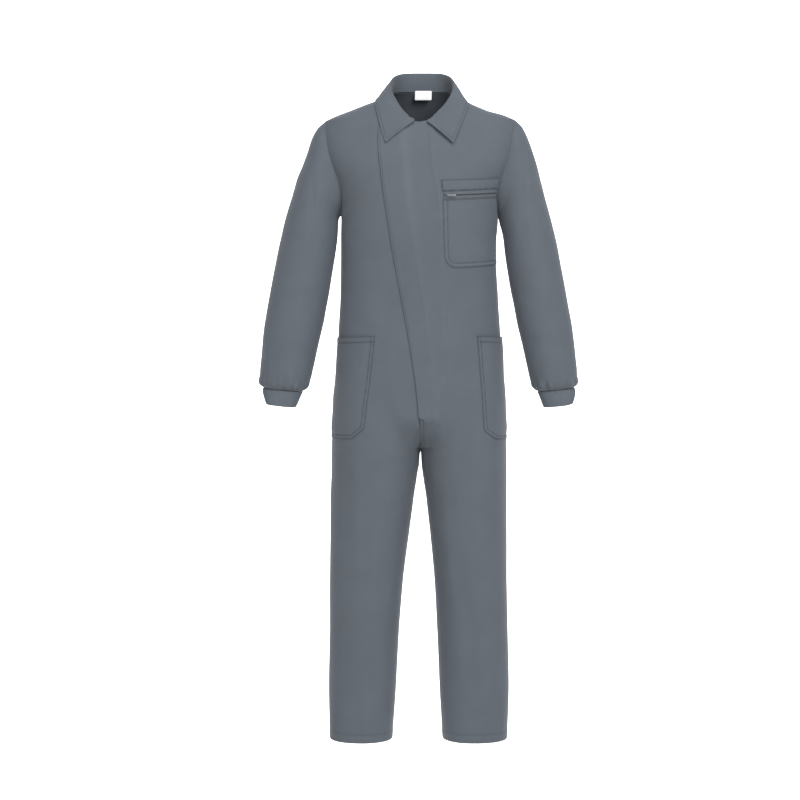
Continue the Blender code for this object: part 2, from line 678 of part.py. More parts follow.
def collar_section(along, side):
    """Points of the collar's visible face at one station, seam to edge."""
    n = neck_point(np.array(along * COLLAR_ENDS))
    f, f0, f1 = (
        np.array([float(COLLAR.at(k, a)) for k in ("fold_x", "fold_y", "fold_z")])
        for a in (along, max(along - 0.03, 0), min(along + 0.03, 1))
    )
    e = np.array([float(COLLAR.at(k, along)) for k in ("edge_x", "edge_y", "edge_z")])
    if side > 0:
        e[0] -= COLLAR_DRAWN * math.exp(-(((along - 0.5) / 0.13) ** 2))
    run = (f1 - f0) / np.linalg.norm(f1 - f0)
    out = np.cross([0, 0, 1.0], run)
    out = np.array([0, 1.0, 0]) if along == 0 else out / np.linalg.norm(out)
    up = np.cross(out, run)
    up *= np.sign(up[2])
    end = float(ease((along - 0.7) / 0.3))
    lift = float(lift_at(n[0], n[2])) if side > 0 and along > 0.5 else 0.0
    foot = n + out * (lift - WALL * (1 - end)) + up * (1.5 + 1.6 * end)
    over = float(ease((along - 0.62) / 0.14))
    if over > 0:
        foot = foot + (rest_on(foot[None], side, COLLAR_WALL + 0.7)[0] - foot) * over
        f = f + (rest_on(f[None], side, 2 * COLLAR_WALL + 1.4)[0] - f) * over
    roll = 3.4 - 1.6 * end
    top_in = f - out * roll * 0.5 - up * roll * 0.8
    top_out = f + out * roll * 1.2 - up * roll * 0.9
    mid = foot + (top_in - foot) * 0.5 - out * 1.2 * (1 - end)
    if over > 0:
        mid = mid + (rest_on(mid[None], side, COLLAR_WALL + 0.7)[0] - mid) * over
    span = e - top_out
    away = np.cross(run, span)
    away /= np.linalg.norm(away)
    away *= np.sign(away @ (out + up))
    a = top_out + span * 0.33 + away * LEAF_BULGE * (1 - 0.6 * end)
    b = top_out + span * 0.68 + away * LEAF_BULGE * 0.8 * (1 - 0.6 * end)
    leaf = rest_on(np.array([top_out, a, b, e]), side, COLLAR_WALL + COLLAR_CLEAR)
    return np.array([foot, mid, top_in, f, *leaf])


def collar():
    right = [collar_section(a, -1) * [-1, 1, 1] for a in COLLAR_STATIONS[:0:-1]]
    left = [collar_section(a, 1) for a in COLLAR_STATIONS]
    grid = np.array(right + left)
    rows, columns = grid.shape[:2]
    du = np.gradient(grid, axis=0)
    dv = np.gradient(grid, axis=1)
    n = np.cross(du, dv)
    n /= np.linalg.norm(n, axis=-1, keepdims=True)
    middle = n[rows // 2, -2]
    if middle[1] < 0:
        n = -n
    return wall("collar", grid, grid - n * COLLAR_WALL, [c[::-1] for c in grid_cells(rows, columns)], CLOTH)


collar()

# Chest pocket on the left front: band, zip and patch, caught in the armhole
# and side seams.
BAND_TOP, BAND_LOW = -190.5, -217.5
PATCH_TOP, PATCH_LOW, PATCH_CORNER = -236.0, -392.5, 27.0
POCKET_TILT = 6.5
CHEST_LEFT = Table("z out", [(-392, 58), (-330, 56.5), (-278, 54.5), (-236, 53), (-190, 49)])
ON_PANEL, POCKET_WALL = 1.3, 1.5


def chest_left(z):
    return float(CHEST_LEFT.at("out", z))


def patch_left(z):
    r = PATCH_CORNER
    h = max(r - (z - PATCH_LOW), 0.0)
    return chest_left(z) + r - math.sqrt(max(r * r - h * h, 0.0))


ARM_END = 0.945                  # where the pocket ends beside the armhole
CHEST_ROWS = (0, 0.012, 0.045, 0.1, 0.172, 0.4, 0.7, 1)
on_panel("chest_patch", 1, PATCH_LOW, PATCH_TOP, patch_left, CHEST_ROWS, ON_PANEL, POCKET_WALL, POCKET, POCKET_TILT, end=ARM_END)
on_panel("chest_band", 1, BAND_LOW, BAND_TOP, chest_left, (0, 0.5, 1), ON_PANEL, POCKET_WALL, POCKET, POCKET_TILT, end=ARM_END)
on_panel(
    "chest_zip", 1, PATCH_TOP + 0.5, BAND_LOW - 0.5, lambda z: 55.0, (0, 0.36, 0.44, 0.56, 0.64, 1),
    ON_PANEL - 0.4, 1.0, TAPE, POCKET_TILT, crown=lambda eta: 0.9 * (np.abs(eta - 0.5) < 0.08), end=ARM_END,
)

# Hip pockets, caught in the side seams.  The two are not placed alike.
HIP = {
    "left": dict(side=1, low=-790.5, high=-549.0, cut=(27.0, 22.0), tilt=(-3.5, -7.0), flare=2.2,
                 edge=Table("z out", [(-790, 148), (-759, 146), (-694, 142), (-620, 135), (-549, 130.5)])),
    "right": dict(side=-1, low=-788.0, high=-549.0, cut=(28.0, 25.0), tilt=(-3.5, -8.0), flare=0.8,
                  edge=Table("z out", [(-790, 127), (-762, 125.5), (-738, 122.5), (-670, 114.5), (-606, 107.5), (-549, 101.5)])),
}
HIP_ROWS = (0, 0.045, 0.095, 0.2, 0.35, 0.5, 0.65, 0.82, 1)
for where, hip in HIP.items():

    def hip_left(z, hip=hip):
        """The pocket's inner edge, with its lower corner cut off slanting."""
        wide, tall = hip["cut"]
        return float(hip["edge"].at("out", z)) + wide * max(1 - (z - hip["low"]) / tall, 0.0)

    on_panel(
        f"hip_pocket_{where}", hip["side"], hip["low"], hip["high"], hip_left,
        HIP_ROWS, ON_PANEL, POCKET_WALL, POCKET, np.interp(HIP_ROWS, [0, 1], hip["tilt"])[:, None], hip["flare"],
    )

# Concealed zip strip down the centre, between the two fronts.
STRIP_HALF, STRIP_LOW = 13.0, -690.0


def strip():
    """On the right front, and narrower where the overlap's edge comes near."""
    rows = GRIDS[-1][0]
    z = np.array([STRIP_LOW] + [a for a in rows if STRIP_LOW + 5 < a < -60])[:, None]
    past = np.minimum(STRIP_HALF, OVERLAP.at("out", z) - 4.5)
    x = np.concatenate([-past, (STRIP_HALF - past) / 2, STRIP_HALF + 0 * z], 1)
    turn = -np.maximum(turn_of(np.abs(x), z, -1), 1e-4)
    side = np.stack([np.where(x > 0, 1.0, -1.0), np.ones_like(x), np.ones_like(x)], -1)
    p, n = body_point(turn, z, -1), body_normal(turn, z, -1)
    p, n = p * side * [-1, 1, 1], n * side * [-1, 1, 1]
    inner = p + n * 0.6
    return wall("front_zip", inner + n * 1.0, inner, grid_cells(*x.shape), TAPE)


strip()

# Bare label at the centre-back neck, inside.
LABEL = dict(x0=-16.0, x1=23.0, z0=-2.0, z1=19.5, thick=0.8, inside=4.2)


def label():
    x = np.linspace(LABEL["x0"], LABEL["x1"], 5)[None, :]
    z = np.linspace(LABEL["z0"], LABEL["z1"], 3)[:, None]
    depth = 62.0 * (1 - (np.abs(x) / 75.0) ** ROUND) ** (1 / ROUND)
    y = depth - LABEL["inside"] + 0 * z
    outer = np.stack([x + 0 * z, y, z + 0 * x], -1)
    return wall("neck_label", outer, outer + [0, LABEL["thick"], 0], grid_cells(3, 5), WHITE)


label()

# Slider and pull tab, in the frame of the zip at its left end: a along the
# zip, b up the cloth, c off it.
SLIDER_X, SLIDER_Z = 67.0, -226.6
BAR_OFF = 6.4                    # the hinge bar's height off the panel


def zip_frame():
    u = u_of([SLIDER_X], [SLIDER_Z], -1)[0]
    p, n = body_point(u, SLIDER_Z, -1), body_normal(u, SLIDER_Z, -1)
    far = body_point(u_of([SLIDER_X + 12], [SLIDER_Z + 0.6], -1)[0], SLIDER_Z + 0.6, -1)
    a = far - p
    a -= n * (a @ n)
    a /= np.linalg.norm(a)
    b = np.cross(n, a)
    return settle(p), a, b, n


def block(bm, low, high):
    made = bmesh.ops.create_cube(bm, size=1.0)["verts"]
    for v in made:
        for k in range(3):
            v.co[k] = (low[k] + high[k]) / 2 + v.co[k] * (high[k] - low[k])


def framed(points):
    p, a, b, n = zip_frame()
    return [(p + a * q[0] + b * q[1] + n * (q[2] + BAR_OFF)) * MM for q in points]


def ring_solid(bm, outline, hole, low, high, axis):
    """A flat plate with one hole, outline and hole having equal counts.
    axis is the direction of its thickness."""
    def at(q, h):
        q = list(q)
        q.insert(axis, h)
        return q
    loops = []
    for h in (low, high):
        for path in (outline, hole):
            loops.append([bm.verts.new(at(q, h)) for q in path])
    lo_out, lo_in, hi_out, hi_in = loops
    m = len(outline)
    for i in range(m):
        k = (i + 1) % m
        bm.faces.new([lo_out[i], lo_in[i], lo_in[k], lo_out[k]])
        bm.faces.new([hi_out[i], hi_out[k], hi_in[k], hi_in[i]])
        bm.faces.new([lo_out[i], lo_out[k], hi_out[k], hi_out[i]])
        bm.faces.new([lo_in[i], hi_in[i], hi_in[k], lo_in[k]])


def hardware(name, bm, look):
    points = framed([v.co[:] for v in bm.verts])
    for v, q in zip(bm.verts, points):
        v.co = q
    bmesh.ops.recalc_face_normals(bm, faces=bm.faces)
    mesh = bpy.data.meshes.new(name)
    bm.to_mesh(mesh)
    bm.free()
    return object_of(name, mesh, look, sharp=35)


def slider():
    """Body with a shield-shaped top and the arch that holds the tab."""
    bm = bmesh.new()
    half, foot = 1.0, -0.95          # arch half width; top of the body, from the bar
    outline = [(-3.4, foot - 0.6), (3.4, foot - 0.6), (3.4, 0.9), (2.4, 1.9), (-2.4, 1.9), (-3.4, 0.9)]
    hole = [(-2.2, foot), (2.2, foot), (2.2, 0.5), (1.7, 1.0), (-1.7, 1.0), (-2.2, 0.5)]
    ring_solid(bm, outline, hole, -half, half, 1)
    arch = bpy.data.meshes.new("arch")
    bmesh.ops.recalc_face_normals(bm, faces=bm.faces)
    bm.to_mesh(arch)
    bm.free()
    bm = bmesh.new()
    plan = [(-5.2, -2.0), (-3.4, -3.1), (2.0, -3.1), (5.2, -2.2), (5.2, 2.2), (2.0, 3.1), (-3.4, 3.1), (-5.2, 2.0)]
    low = [bm.verts.new((a, b, -3.3)) for a, b in plan]
    high = [bm.verts.new((a, b, foot - 0.25)) for a, b in plan]
    inset = [bm.verts.new((a * 0.88, b * 0.88, foot)) for a, b in plan]
    bm.faces.new(low[::-1])
    bm.faces.new(inset)
    for i in range(len(plan)):
        k = (i + 1) % len(plan)
        bm.faces.new([low[i], low[k], high[k], high[i]])
        bm.faces.new([high[i], high[k], inset[k], inset[i]])
    bmesh.ops.recalc_face_normals(bm, faces=bm.faces)
    body = bpy.data.meshes.new("zip_slider")
    bm.to_mesh(body)
    bm.free()
    body.materials.append(METAL)
    for mesh in (arch, body):
        for v, q in zip(mesh.vertices, framed([v.co[:] for v in mesh.vertices])):
            v.co = q
    arch_object = bpy.data.objects.new("slider_arch", arch)
    bpy.context.scene.collection.objects.link(arch_object)
    arch_object.hide_render = True
    arch_object.display_type = "WIRE"
    made = bpy.data.objects.new("zip_slider", body)
    bpy.context.scene.collection.objects.link(made)
    made.parent = SUIT
    join = made.modifiers.new("arch", "BOOLEAN")
    join.operation = "UNION"
    join.solver = "EXACT"
    join.object = arch_object
    return made


slider()


def pull_tab():
    """Flat tab with a window at its hinge end; its origin is on the hinge."""
    bm = bmesh.new()
    outline = [(-0.6, -2.3), (5.4, -2.3), (8.5, -1.7), (15.0, -2.2), (16.2, -1.2), (16.2, 1.2), (15.0, 2.2), (8.5, 1.7), (5.4, 2.3), (-0.6, 2.3)]
    hole = [(0.6, -1.4), (4.4, -1.4), (5.0, -1.1), (5.2, -0.8), (5.2, -0.3), (5.2, 0.3), (5.2, 0.8), (5.0, 1.1), (4.4, 1.4), (0.6, 1.4)]
    ring_solid(bm, outline, hole, -0.45, 0.45, 2)
    p, a, b, n = zip_frame()
    hinge = (p + n * BAR_OFF) * MM
    for v in bm.verts:
        q = v.co
        v.co = (a * q[0] + b * q[1] + n * q[2]) * MM
    bmesh.ops.recalc_face_normals(bm, faces=bm.faces)
    mesh = bpy.data.meshes.new("pull_tab")
    bm.to_mesh(mesh)
    bm.free()
    made = object_of("pull_tab", mesh, METAL, sharp=35)
    made.location = hinge
    return made


pull_tab()
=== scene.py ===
"""Looks of the boiler suit: each cloth piece is made again as a fine thin
shell on its solid's form, with its folds, seams, stitching and weave.

Lengths are in millimetres here and are scaled by MM when a mesh is made.
"""

import math

import bpy
import numpy as np
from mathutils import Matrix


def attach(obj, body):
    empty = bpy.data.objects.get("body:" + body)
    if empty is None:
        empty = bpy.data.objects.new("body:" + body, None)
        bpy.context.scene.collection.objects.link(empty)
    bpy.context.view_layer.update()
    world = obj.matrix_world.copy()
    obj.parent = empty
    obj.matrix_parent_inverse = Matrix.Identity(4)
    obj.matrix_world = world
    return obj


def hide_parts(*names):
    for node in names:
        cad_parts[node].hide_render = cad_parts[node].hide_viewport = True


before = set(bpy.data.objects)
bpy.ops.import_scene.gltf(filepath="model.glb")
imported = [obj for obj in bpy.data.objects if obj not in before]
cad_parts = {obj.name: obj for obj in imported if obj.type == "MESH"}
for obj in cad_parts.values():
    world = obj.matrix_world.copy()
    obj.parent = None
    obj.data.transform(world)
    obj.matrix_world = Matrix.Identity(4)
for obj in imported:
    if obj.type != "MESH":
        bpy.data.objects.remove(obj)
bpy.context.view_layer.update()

MM = 0.001
SMOOTH = True                    # the halves differ smoothly from row to row

# ---------------------------------------------------------------- tables (mm)
# +X is the wearer's left, -Y the front, +Z up.  z = 0 is the level of the
# neck points, where the shoulder seams meet the collar.

class Table:
    """Rows with named columns; the first column is the one looked up."""

    def __init__(self, names, rows):
        self.names = names.split()
        self.rows = np.array(sorted(rows), float)

    def at(self, name, key):
        """Smooth value of a column at a key, with no overshoot between rows."""
        x = self.rows[:, 0]
        y = self.rows[:, self.names.index(name)]
        key = np.clip(np.asarray(key, float), x[0], x[-1])
        step = np.diff(x)
        rise = np.diff(y) / step
        slope = np.zeros(len(x))
        slope[0], slope[-1] = rise[0], rise[-1]
        same = rise[:-1] * rise[1:] > 0
        w0, w1 = 2 * step[1:] + step[:-1], step[1:] + 2 * step[:-1]
        with np.errstate(divide="ignore", invalid="ignore"):
            mean = (w0 + w1) / (w0 / rise[:-1] + w1 / rise[1:])
        slope[1:-1] = np.where(same, mean, 0.0)
        i = np.clip(np.searchsorted(x, key, side="right") - 1, 0, len(x) - 2)
        h = step[i]
        f = (key - x[i]) / h
        return (
            y[i] * (1 + 2 * f) * (1 - f) ** 2
            + slope[i] * h * f * (1 - f) ** 2
            + y[i + 1] * f * f * (3 - 2 * f)
            + slope[i + 1] * h * f * f * (f - 1)
        )


# Body from the underarm to the crotch: half width, depth before and behind
# the plane of the side seams.
BODY = Table("z width front back", [
    (-275, 181, 128, 122),
    (-330, 180, 127, 117),
    (-400, 180.5, 122, 108),
    (-470, 182.5, 118, 104),
    (-540, 187, 119, 112),
    (-600, 190, 122, 124),
    (-660, 194.5, 124, 133),
    (-720, 199, 124, 136),
    (-780, 201.5, 122, 133),
    (-814, 202.5, 120, 129),
])
# Chest and shoulders above the underarm.
CHEST = Table("z front back", [
    (-275, 128, 122),
    (-232, 125, 124),
    (-195, 120, 124),
    (-141, 110, 120),
    (-100, 99, 113),
    (-73, 90, 105),
    (-52, 80, 96),
    (-36, 70, 88),
    (-20, 58, 79),
    (-6, 47, 70),
    (6, 38, 62),
])
# Shoulder seam: how far out it is at each height.
SHOULDER = Table("z out", [
    (6, 75), (-4, 97), (-13, 118), (-21, 138), (-30, 160), (-40, 187), (-52, 222),
])
# Armhole seam, as seen from the front.
ARMHOLE = Table("z out", [
    (-52, 222), (-75, 218), (-105, 213.5), (-135, 207), (-165, 197),
    (-185, 189), (-205, 183), (-228, 180), (-250, 180), (-275, 181),
])
# Front neckline: distance from the centre.
NECKLINE = Table("z out", [
    (-57, 0), (-55.5, 12), (-51, 27), (-42, 43), (-26, 59), (-10, 69), (0, 73.3), (6, 75),
])
# Each leg: centre, half width, depths, and how far its middle lies back.
LEG = Table("z centre half front back mid", [
    (-600, 95, 95, 121, 124, 0),
    (-700, 99, 98.7, 123, 132, 0),
    (-814, 102, 101.6, 119, 122, 0),
    (-859, 103.6, 100.2, 115, 114, 1),
    (-934, 110.5, 94.2, 108, 106, 1),
    (-1029, 116.8, 88.2, 100, 99, -1),
    (-1143, 124, 83.2, 92, 93, -2),
    (-1258, 128.6, 81.6, 87, 89, 2),
    (-1373, 132.5, 79.8, 83, 85, 6),
    (-1508, 135, 75, 79, 80, 6),
])
# Left front's diagonal edge, right of the centre; right front's hidden edge.
OVERLAP = Table("z out", [
    (-58, 84), (-66, 91), (-79, 95.5), (-115, 94.5), (-161, 90), (-209, 84),
    (-259, 76), (-360, 59.5), (-488, 36.5), (-547, 26), (-619, 15), (-704, 4.5), (-737, 2.6),
])
UNDERLAP = Table("z out", [(-58, 34), (-75, 37), (-640, 37), (-700, 20), (-737, 4)])
# Sleeve rings from the armhole to the cuff: outer and inner point seen from
# the front, depths before and behind, and where the ring's middle lies.
SLEEVE = Table("ring out_x out_z in_x in_z front back mid", [
    (0, 222, -52, 181, -275, 55, 58, 0),
    (1, 238.5, -66, 184.6, -278, 60, 62, 0),
    (2, 251.5, -90, 187.0, -283.5, 64, 66, 0),
    (3, 264, -130, 188.6, -291, 68, 69, -1),
    (4, 277.5, -177, 190.4, -302, 70, 71, -2),
    (5, 291.5, -225, 193.5, -321, 71, 71, -3),
    (6, 305.5, -271, 197.5, -351, 70, 70, -4),
    (7, 319.5, -326, 204.5, -394, 69, 69, -6),
    (8, 333.5, -393, 213.5, -450, 68, 67, -9),
    (9, 347, -463, 227, -510, 66, 65, -13),
    (10, 358.5, -533, 241.5, -568, 64, 63, -18),
    (11, 365.5, -596, 253, -622, 61.5, 60.5, -23),
    (12, 369, -637, 259.5, -654, 58, 57, -26),
    (13, 369, -660, 265.5, -672, 51, 50, -28),
    (14, 362.5, -673, 274, -682, 43.5, 42.5, -29),
])
CUFF = Table("ring out_x out_z in_x in_z front back mid", [
    (0, 362.5, -673.8, 274.4, -682.8, 42.5, 41.5, -29),
    (1, 363.2, -684, 278, -692, 41, 40.5, -30),
    (2, 361.5, -698, 284, -706.5, 39, 38.5, -31.5),
    (3, 358.5, -711.5, 289.5, -719.5, 36, 35.5, -33),
])
# Collar, from the centre back (0) to the front end (1): fold line, then the
# leaf's lower edge.
COLLAR = Table("along fold_x fold_y fold_z edge_x edge_y edge_z", [
    (0.00, 0, 64, 61, 0, 83, 7),
    (0.14, 28, 61, 61, 34, 79.5, 5),
    (0.28, 54, 45, 57.5, 66, 64, 1),
    (0.40, 70, 18, 46, 90, 38, -1),
    (0.52, 74, -8, 28, 106, 4, -2.5),
    (0.63, 66.5, -33, 7, 110, -28, -10),
    (0.75, 50, -60, -21, 104.5, -61, -31),
    (0.88, 30, -79, -44, 93, -88, -66),
    (1.00, 14.5, -90.5, -55.5, 78, -105.5, -105),
])

ROUND = 2.4                      # squareness of the body's sections
FRONT_LINES = (20.0, 39.0, 53.0)  # the first lines of the grid, from the centre
ROUND_LEG = 2.2
HEM_Z, CROTCH_Z, FLY_Z, ARM_Z, TIP_Z, CF_Z, NECK_Z = -1508, -814, -737, -275, -52, -57, 6
ARM_MID, ARM_HALF = (ARM_Z + TIP_Z) / 2, (TIP_Z - ARM_Z) / 2
ARM_FRONT, ARM_BACK = 55.0, 58.0  # how far the armhole reaches forward and back
ARM_AXIS = np.array([0.985, 0.0, -0.173])
BACK_RISE = 9.0                  # the back neck stands higher than its sides
NECK_SHIFT = 7.0                 # the neck sits a little to the wearer's left
WALL = 1.6
SEAM = 0.2                       # half of the gap at a seam
LIFT_ZIP = 3.9                   # left front over the concealed zip
LIFT_OVER = 2.5                  # left front over the right front alone


def ease(x):
    x = np.clip(x, 0.0, 1.0)
    return x * x * (3 - 2 * x)


def power(value, exponent):
    return np.sign(value) * np.abs(value) ** exponent


def armhole_depth(z, face):
    """How far before (face -1) or behind (+1) the armhole seam lies at z."""
    c = np.clip((z - ARM_MID) / ARM_HALF, -1, 1)
    return np.sqrt(1 - c * c) * (ARM_FRONT if face < 0 else ARM_BACK)


def depth_at(z, face):
    name = "front" if face < 0 else "back"
    return np.where(z < ARM_Z, BODY.at(name, z), CHEST.at(name, z))


def width_at(z, face):
    """Half width of the section that the panel follows at z."""
    d = depth_at(z, face)
    y = armhole_depth(z, face)
    arm = ARMHOLE.at("out", z) / (1 - (y / d) ** ROUND) ** (1 / ROUND)
    return np.where(z < ARM_Z, BODY.at("width", z), np.where(z > TIP_Z, SHOULDER.at("out", z), arm))


def turn_of(x, z, face):
    """The angle round the section, from the centre, of a point at x."""
    return np.arcsin(np.clip(x / width_at(z, face), 0, 1) ** (ROUND / 2))


def outer_turn(z, face):
    """The angle at which the panel ends: side seam, armhole or shoulder."""
    y = armhole_depth(z, face) / depth_at(z, face)
    return np.where((z > ARM_Z) & (z < TIP_Z), np.arccos(np.clip(y, 0, 1) ** (ROUND / 2)), math.pi / 2)


def leg_share(u):
    """x of a leg's section at the crotch, as a share of the body's width."""
    c, r = 102.0, 101.6
    x = (c - r * power(np.cos(math.pi * u), 2 / ROUND_LEG)) / (c + r)
    x0 = (c - r) / (c + r)
    return np.clip((x - x0) / (1 - x0), 0, 1)


def body_point(u, z, face):
    """Outer face of the left half: u is 0 at the centre and 1 at the side.
    Past the centre, on the overlap or the underlap, u is minus the angle."""
    u, z = np.broadcast_arrays(np.asarray(u, float), np.asarray(z, float))
    main = np.clip(u, 0, 1)
    start = np.where(z > CF_Z, turn_of(NECKLINE.at("out", z), z, face), 0.0) if face < 0 else 0.0 * z
    end = outer_turn(z, face)
    knots = [start]
    for k in range(1, 9):
        near = turn_of(FRONT_LINES[min(k, 3) - 1], z, face)
        if k > 3:
            near = near + (end - near) * (k - 3) / 5
        knots.append(np.maximum(near, start + (end - start) * 0.06 * k) if k < 8 else end)
    turn = knots[0]
    for k in range(8):
        turn = turn + (knots[k + 1] - knots[k]) * np.clip(main * 8 - k, 0, 1)
    legs = np.arcsin(leg_share(main) ** (ROUND / 2))
    turn = turn + (legs - turn) * ease((-z - 470) / 130)
    over = np.where(u < 0, 1.0, 0.0)
    turn = turn * (1 - over) + u * over
    a, d = width_at(z, face), depth_at(z, face)
    x = a * power(np.sin(turn), 2 / ROUND)
    y = face * d * np.abs(np.cos(turn)) ** (2 / ROUND)
    # legs
    centre, half, mid = LEG.at("centre", z), LEG.at("half", z), LEG.at("mid", z)
    reach = LEG.at("front" if face < 0 else "back", z)
    lx = centre - half * power(np.cos(math.pi * main), 2 / ROUND_LEG)
    ly = mid + face * reach * np.abs(np.sin(math.pi * main)) ** (2 / ROUND_LEG)
    top = FLY_Z if face < 0 else -705.0
    first = top + (-600 - top) * ease((main - 0.25) / 0.4)
    f = np.clip((first - z) / (first - CROTCH_Z), 0, 1)
    sharp = 1 - (1 - f ** 2) ** 0.6
    w = sharp + (ease(f) - sharp) * ease(main / 0.3)
    w = np.where(u < 0, 0.0, w)
    x, y = x + (lx - x) * w, y + (ly - y) * w
    # the back neck rises
    if face > 0:
        z = z + BACK_RISE * ease(y / 55) * ease((z + 60) / 66)
    return np.stack([x, y, z + 0.0 * x], -1)


def body_normal(u, z, face):
    """Outward direction of body_point, from its neighbours."""
    u, z = np.broadcast_arrays(np.asarray(u, float), np.asarray(z, float))
    du, dz = 0.03, 1.0
    hi, lo = HEM_Z, NECK_Z
    main = u >= 0
    u1 = np.where(main, np.clip(u + du, 0, 1), u + du)
    u0 = np.where(main, np.clip(u - du, 0, 1), u - du)
    u1 = np.where(~main & (u1 > -1e-6), -1e-6, u1)
    z1, z0 = np.clip(z + dz, hi, lo), np.clip(z - dz, hi, lo)
    n = np.cross(
        body_point(u1, z, face) - body_point(u0, z, face),
        body_point(u, z1, face) - body_point(u, z0, face),
    )
    if face > 0:
        n = -n
    size = np.linalg.norm(n, axis=-1, keepdims=True)
    return n / np.maximum(size, 1e-12)


def armhole(phi):
    """The armhole seam: phi 0 at the shoulder, pi at the underarm, through
    the front."""
    phi = np.asarray(phi, float)
    z = ARM_MID + ARM_HALF * np.cos(phi)
    s = np.sin(phi)
    y = np.where(s > 0, -ARM_FRONT * s, -ARM_BACK * s)
    return np.stack([ARMHOLE.at("out", z), y, z], -1)


def ring_point(table, ring, phi):
    ring, phi = np.broadcast_arrays(np.asarray(ring, float), np.asarray(phi, float))
    ox, oz, ix, iz, mid = (table.at(k, ring) for k in ("out_x", "out_z", "in_x", "in_z", "mid"))
    c, s = np.cos(phi), np.sin(phi)
    deep = np.where(s > 0, table.at("front", ring), table.at("back", ring))
    return np.stack([
        (ox + ix) / 2 + (ox - ix) / 2 * c,
        mid - deep * s,
        (oz + iz) / 2 + (oz - iz) / 2 * c,
    ], -1)


def sleeve_point(ring, phi):
    """Outer face of the left sleeve; ring 0 is the armhole seam itself."""
    ring, phi = np.broadcast_arrays(np.asarray(ring, float), np.asarray(phi, float))
    p = ring_point(SLEEVE, ring, phi)
    fade = np.clip(1 - ring / 4.0, 0, 1) ** 2
    return p + (armhole(phi) - ring_point(SLEEVE, 0.0, phi)) * fade[..., None]


def cuff_point(ring, phi):
    return ring_point(CUFF, ring, phi)


def tube_normal(point, ring, phi, last):
    ring, phi = np.broadcast_arrays(np.asarray(ring, float), np.asarray(phi, float))
    r1, r0 = np.clip(ring + 0.1, 0, last), np.clip(ring - 0.1, 0, last)
    n = np.cross(
        point(ring, phi + 0.02) - point(ring, phi - 0.02),
        point(r1, phi) - point(r0, phi),
    )
    n /= np.maximum(np.linalg.norm(n, axis=-1, keepdims=True), 1e-12)
    return n


def neck_point(along):
    """The neck seam: 0 at the centre back, 0.5 at the shoulder, 1 at the
    centre front."""
    along = np.asarray(along, float)
    back = body_point(np.clip(along / 0.5, 0, 1), NECK_Z, 1)
    z = NECK_Z + (CF_Z - NECK_Z) * np.clip((along - 0.5) / 0.5, 0, 1) ** 1.25
    front = body_point(0.0, z, -1)
    return np.where((along < 0.5)[..., None], back, front)


def shoulder_samples():
    """Points and normals all over the shoulders, for what rests on them."""
    found = []
    for face in (-1, 1):
        z = np.concatenate([np.linspace(-150, -10, 57), np.linspace(-9, NECK_Z - 0.3, 20)])[:, None]
        u = np.concatenate([np.linspace(0, 0.9, 55), np.linspace(0.91, 1, 22)])[None, :]
        p, n = body_point(u, z, face), body_normal(u, z, face)
        found.append((p.reshape(-1, 3), n.reshape(-1, 3)))
    return np.concatenate([f[0] for f in found]), np.concatenate([f[1] for f in found])


def lift_at(x, z):
    """How far the left front stands off, x being its own distance from the
    centre, positive on its own side."""
    high = LIFT_OVER + (LIFT_ZIP - LIFT_OVER) * ease((x + 42) / 12)
    high = high * (1 - ease((x - 39) / 13))
    return high * ease((z + 764) / 26)


def rest_on(p, side, gap):
    """Moves the left-half points p out until they are gap clear of the
    fronts and backs below; side tells which half of the suit it is."""
    p = np.array(p, float)
    flat = p.reshape(-1, 3)
    q, n = SHOULDERS
    for i, one in enumerate(flat):
        away = one - q
        k = np.argmin((away ** 2).sum(1))
        need = gap
        x, z = one[0], one[2]
        if one[1] < 0:
            if side > 0:
                need += float(lift_at(x, z))
            else:
                need += float(lift_at(-x, z) * (1 - ease((x - OVERLAP.at("out", z) - 6) / 8)) * ease((-36 - z) / 8))
        off = away[k] @ n[k]
        if off < need:
            flat[i] = one + n[k] * (need - off)
    return p


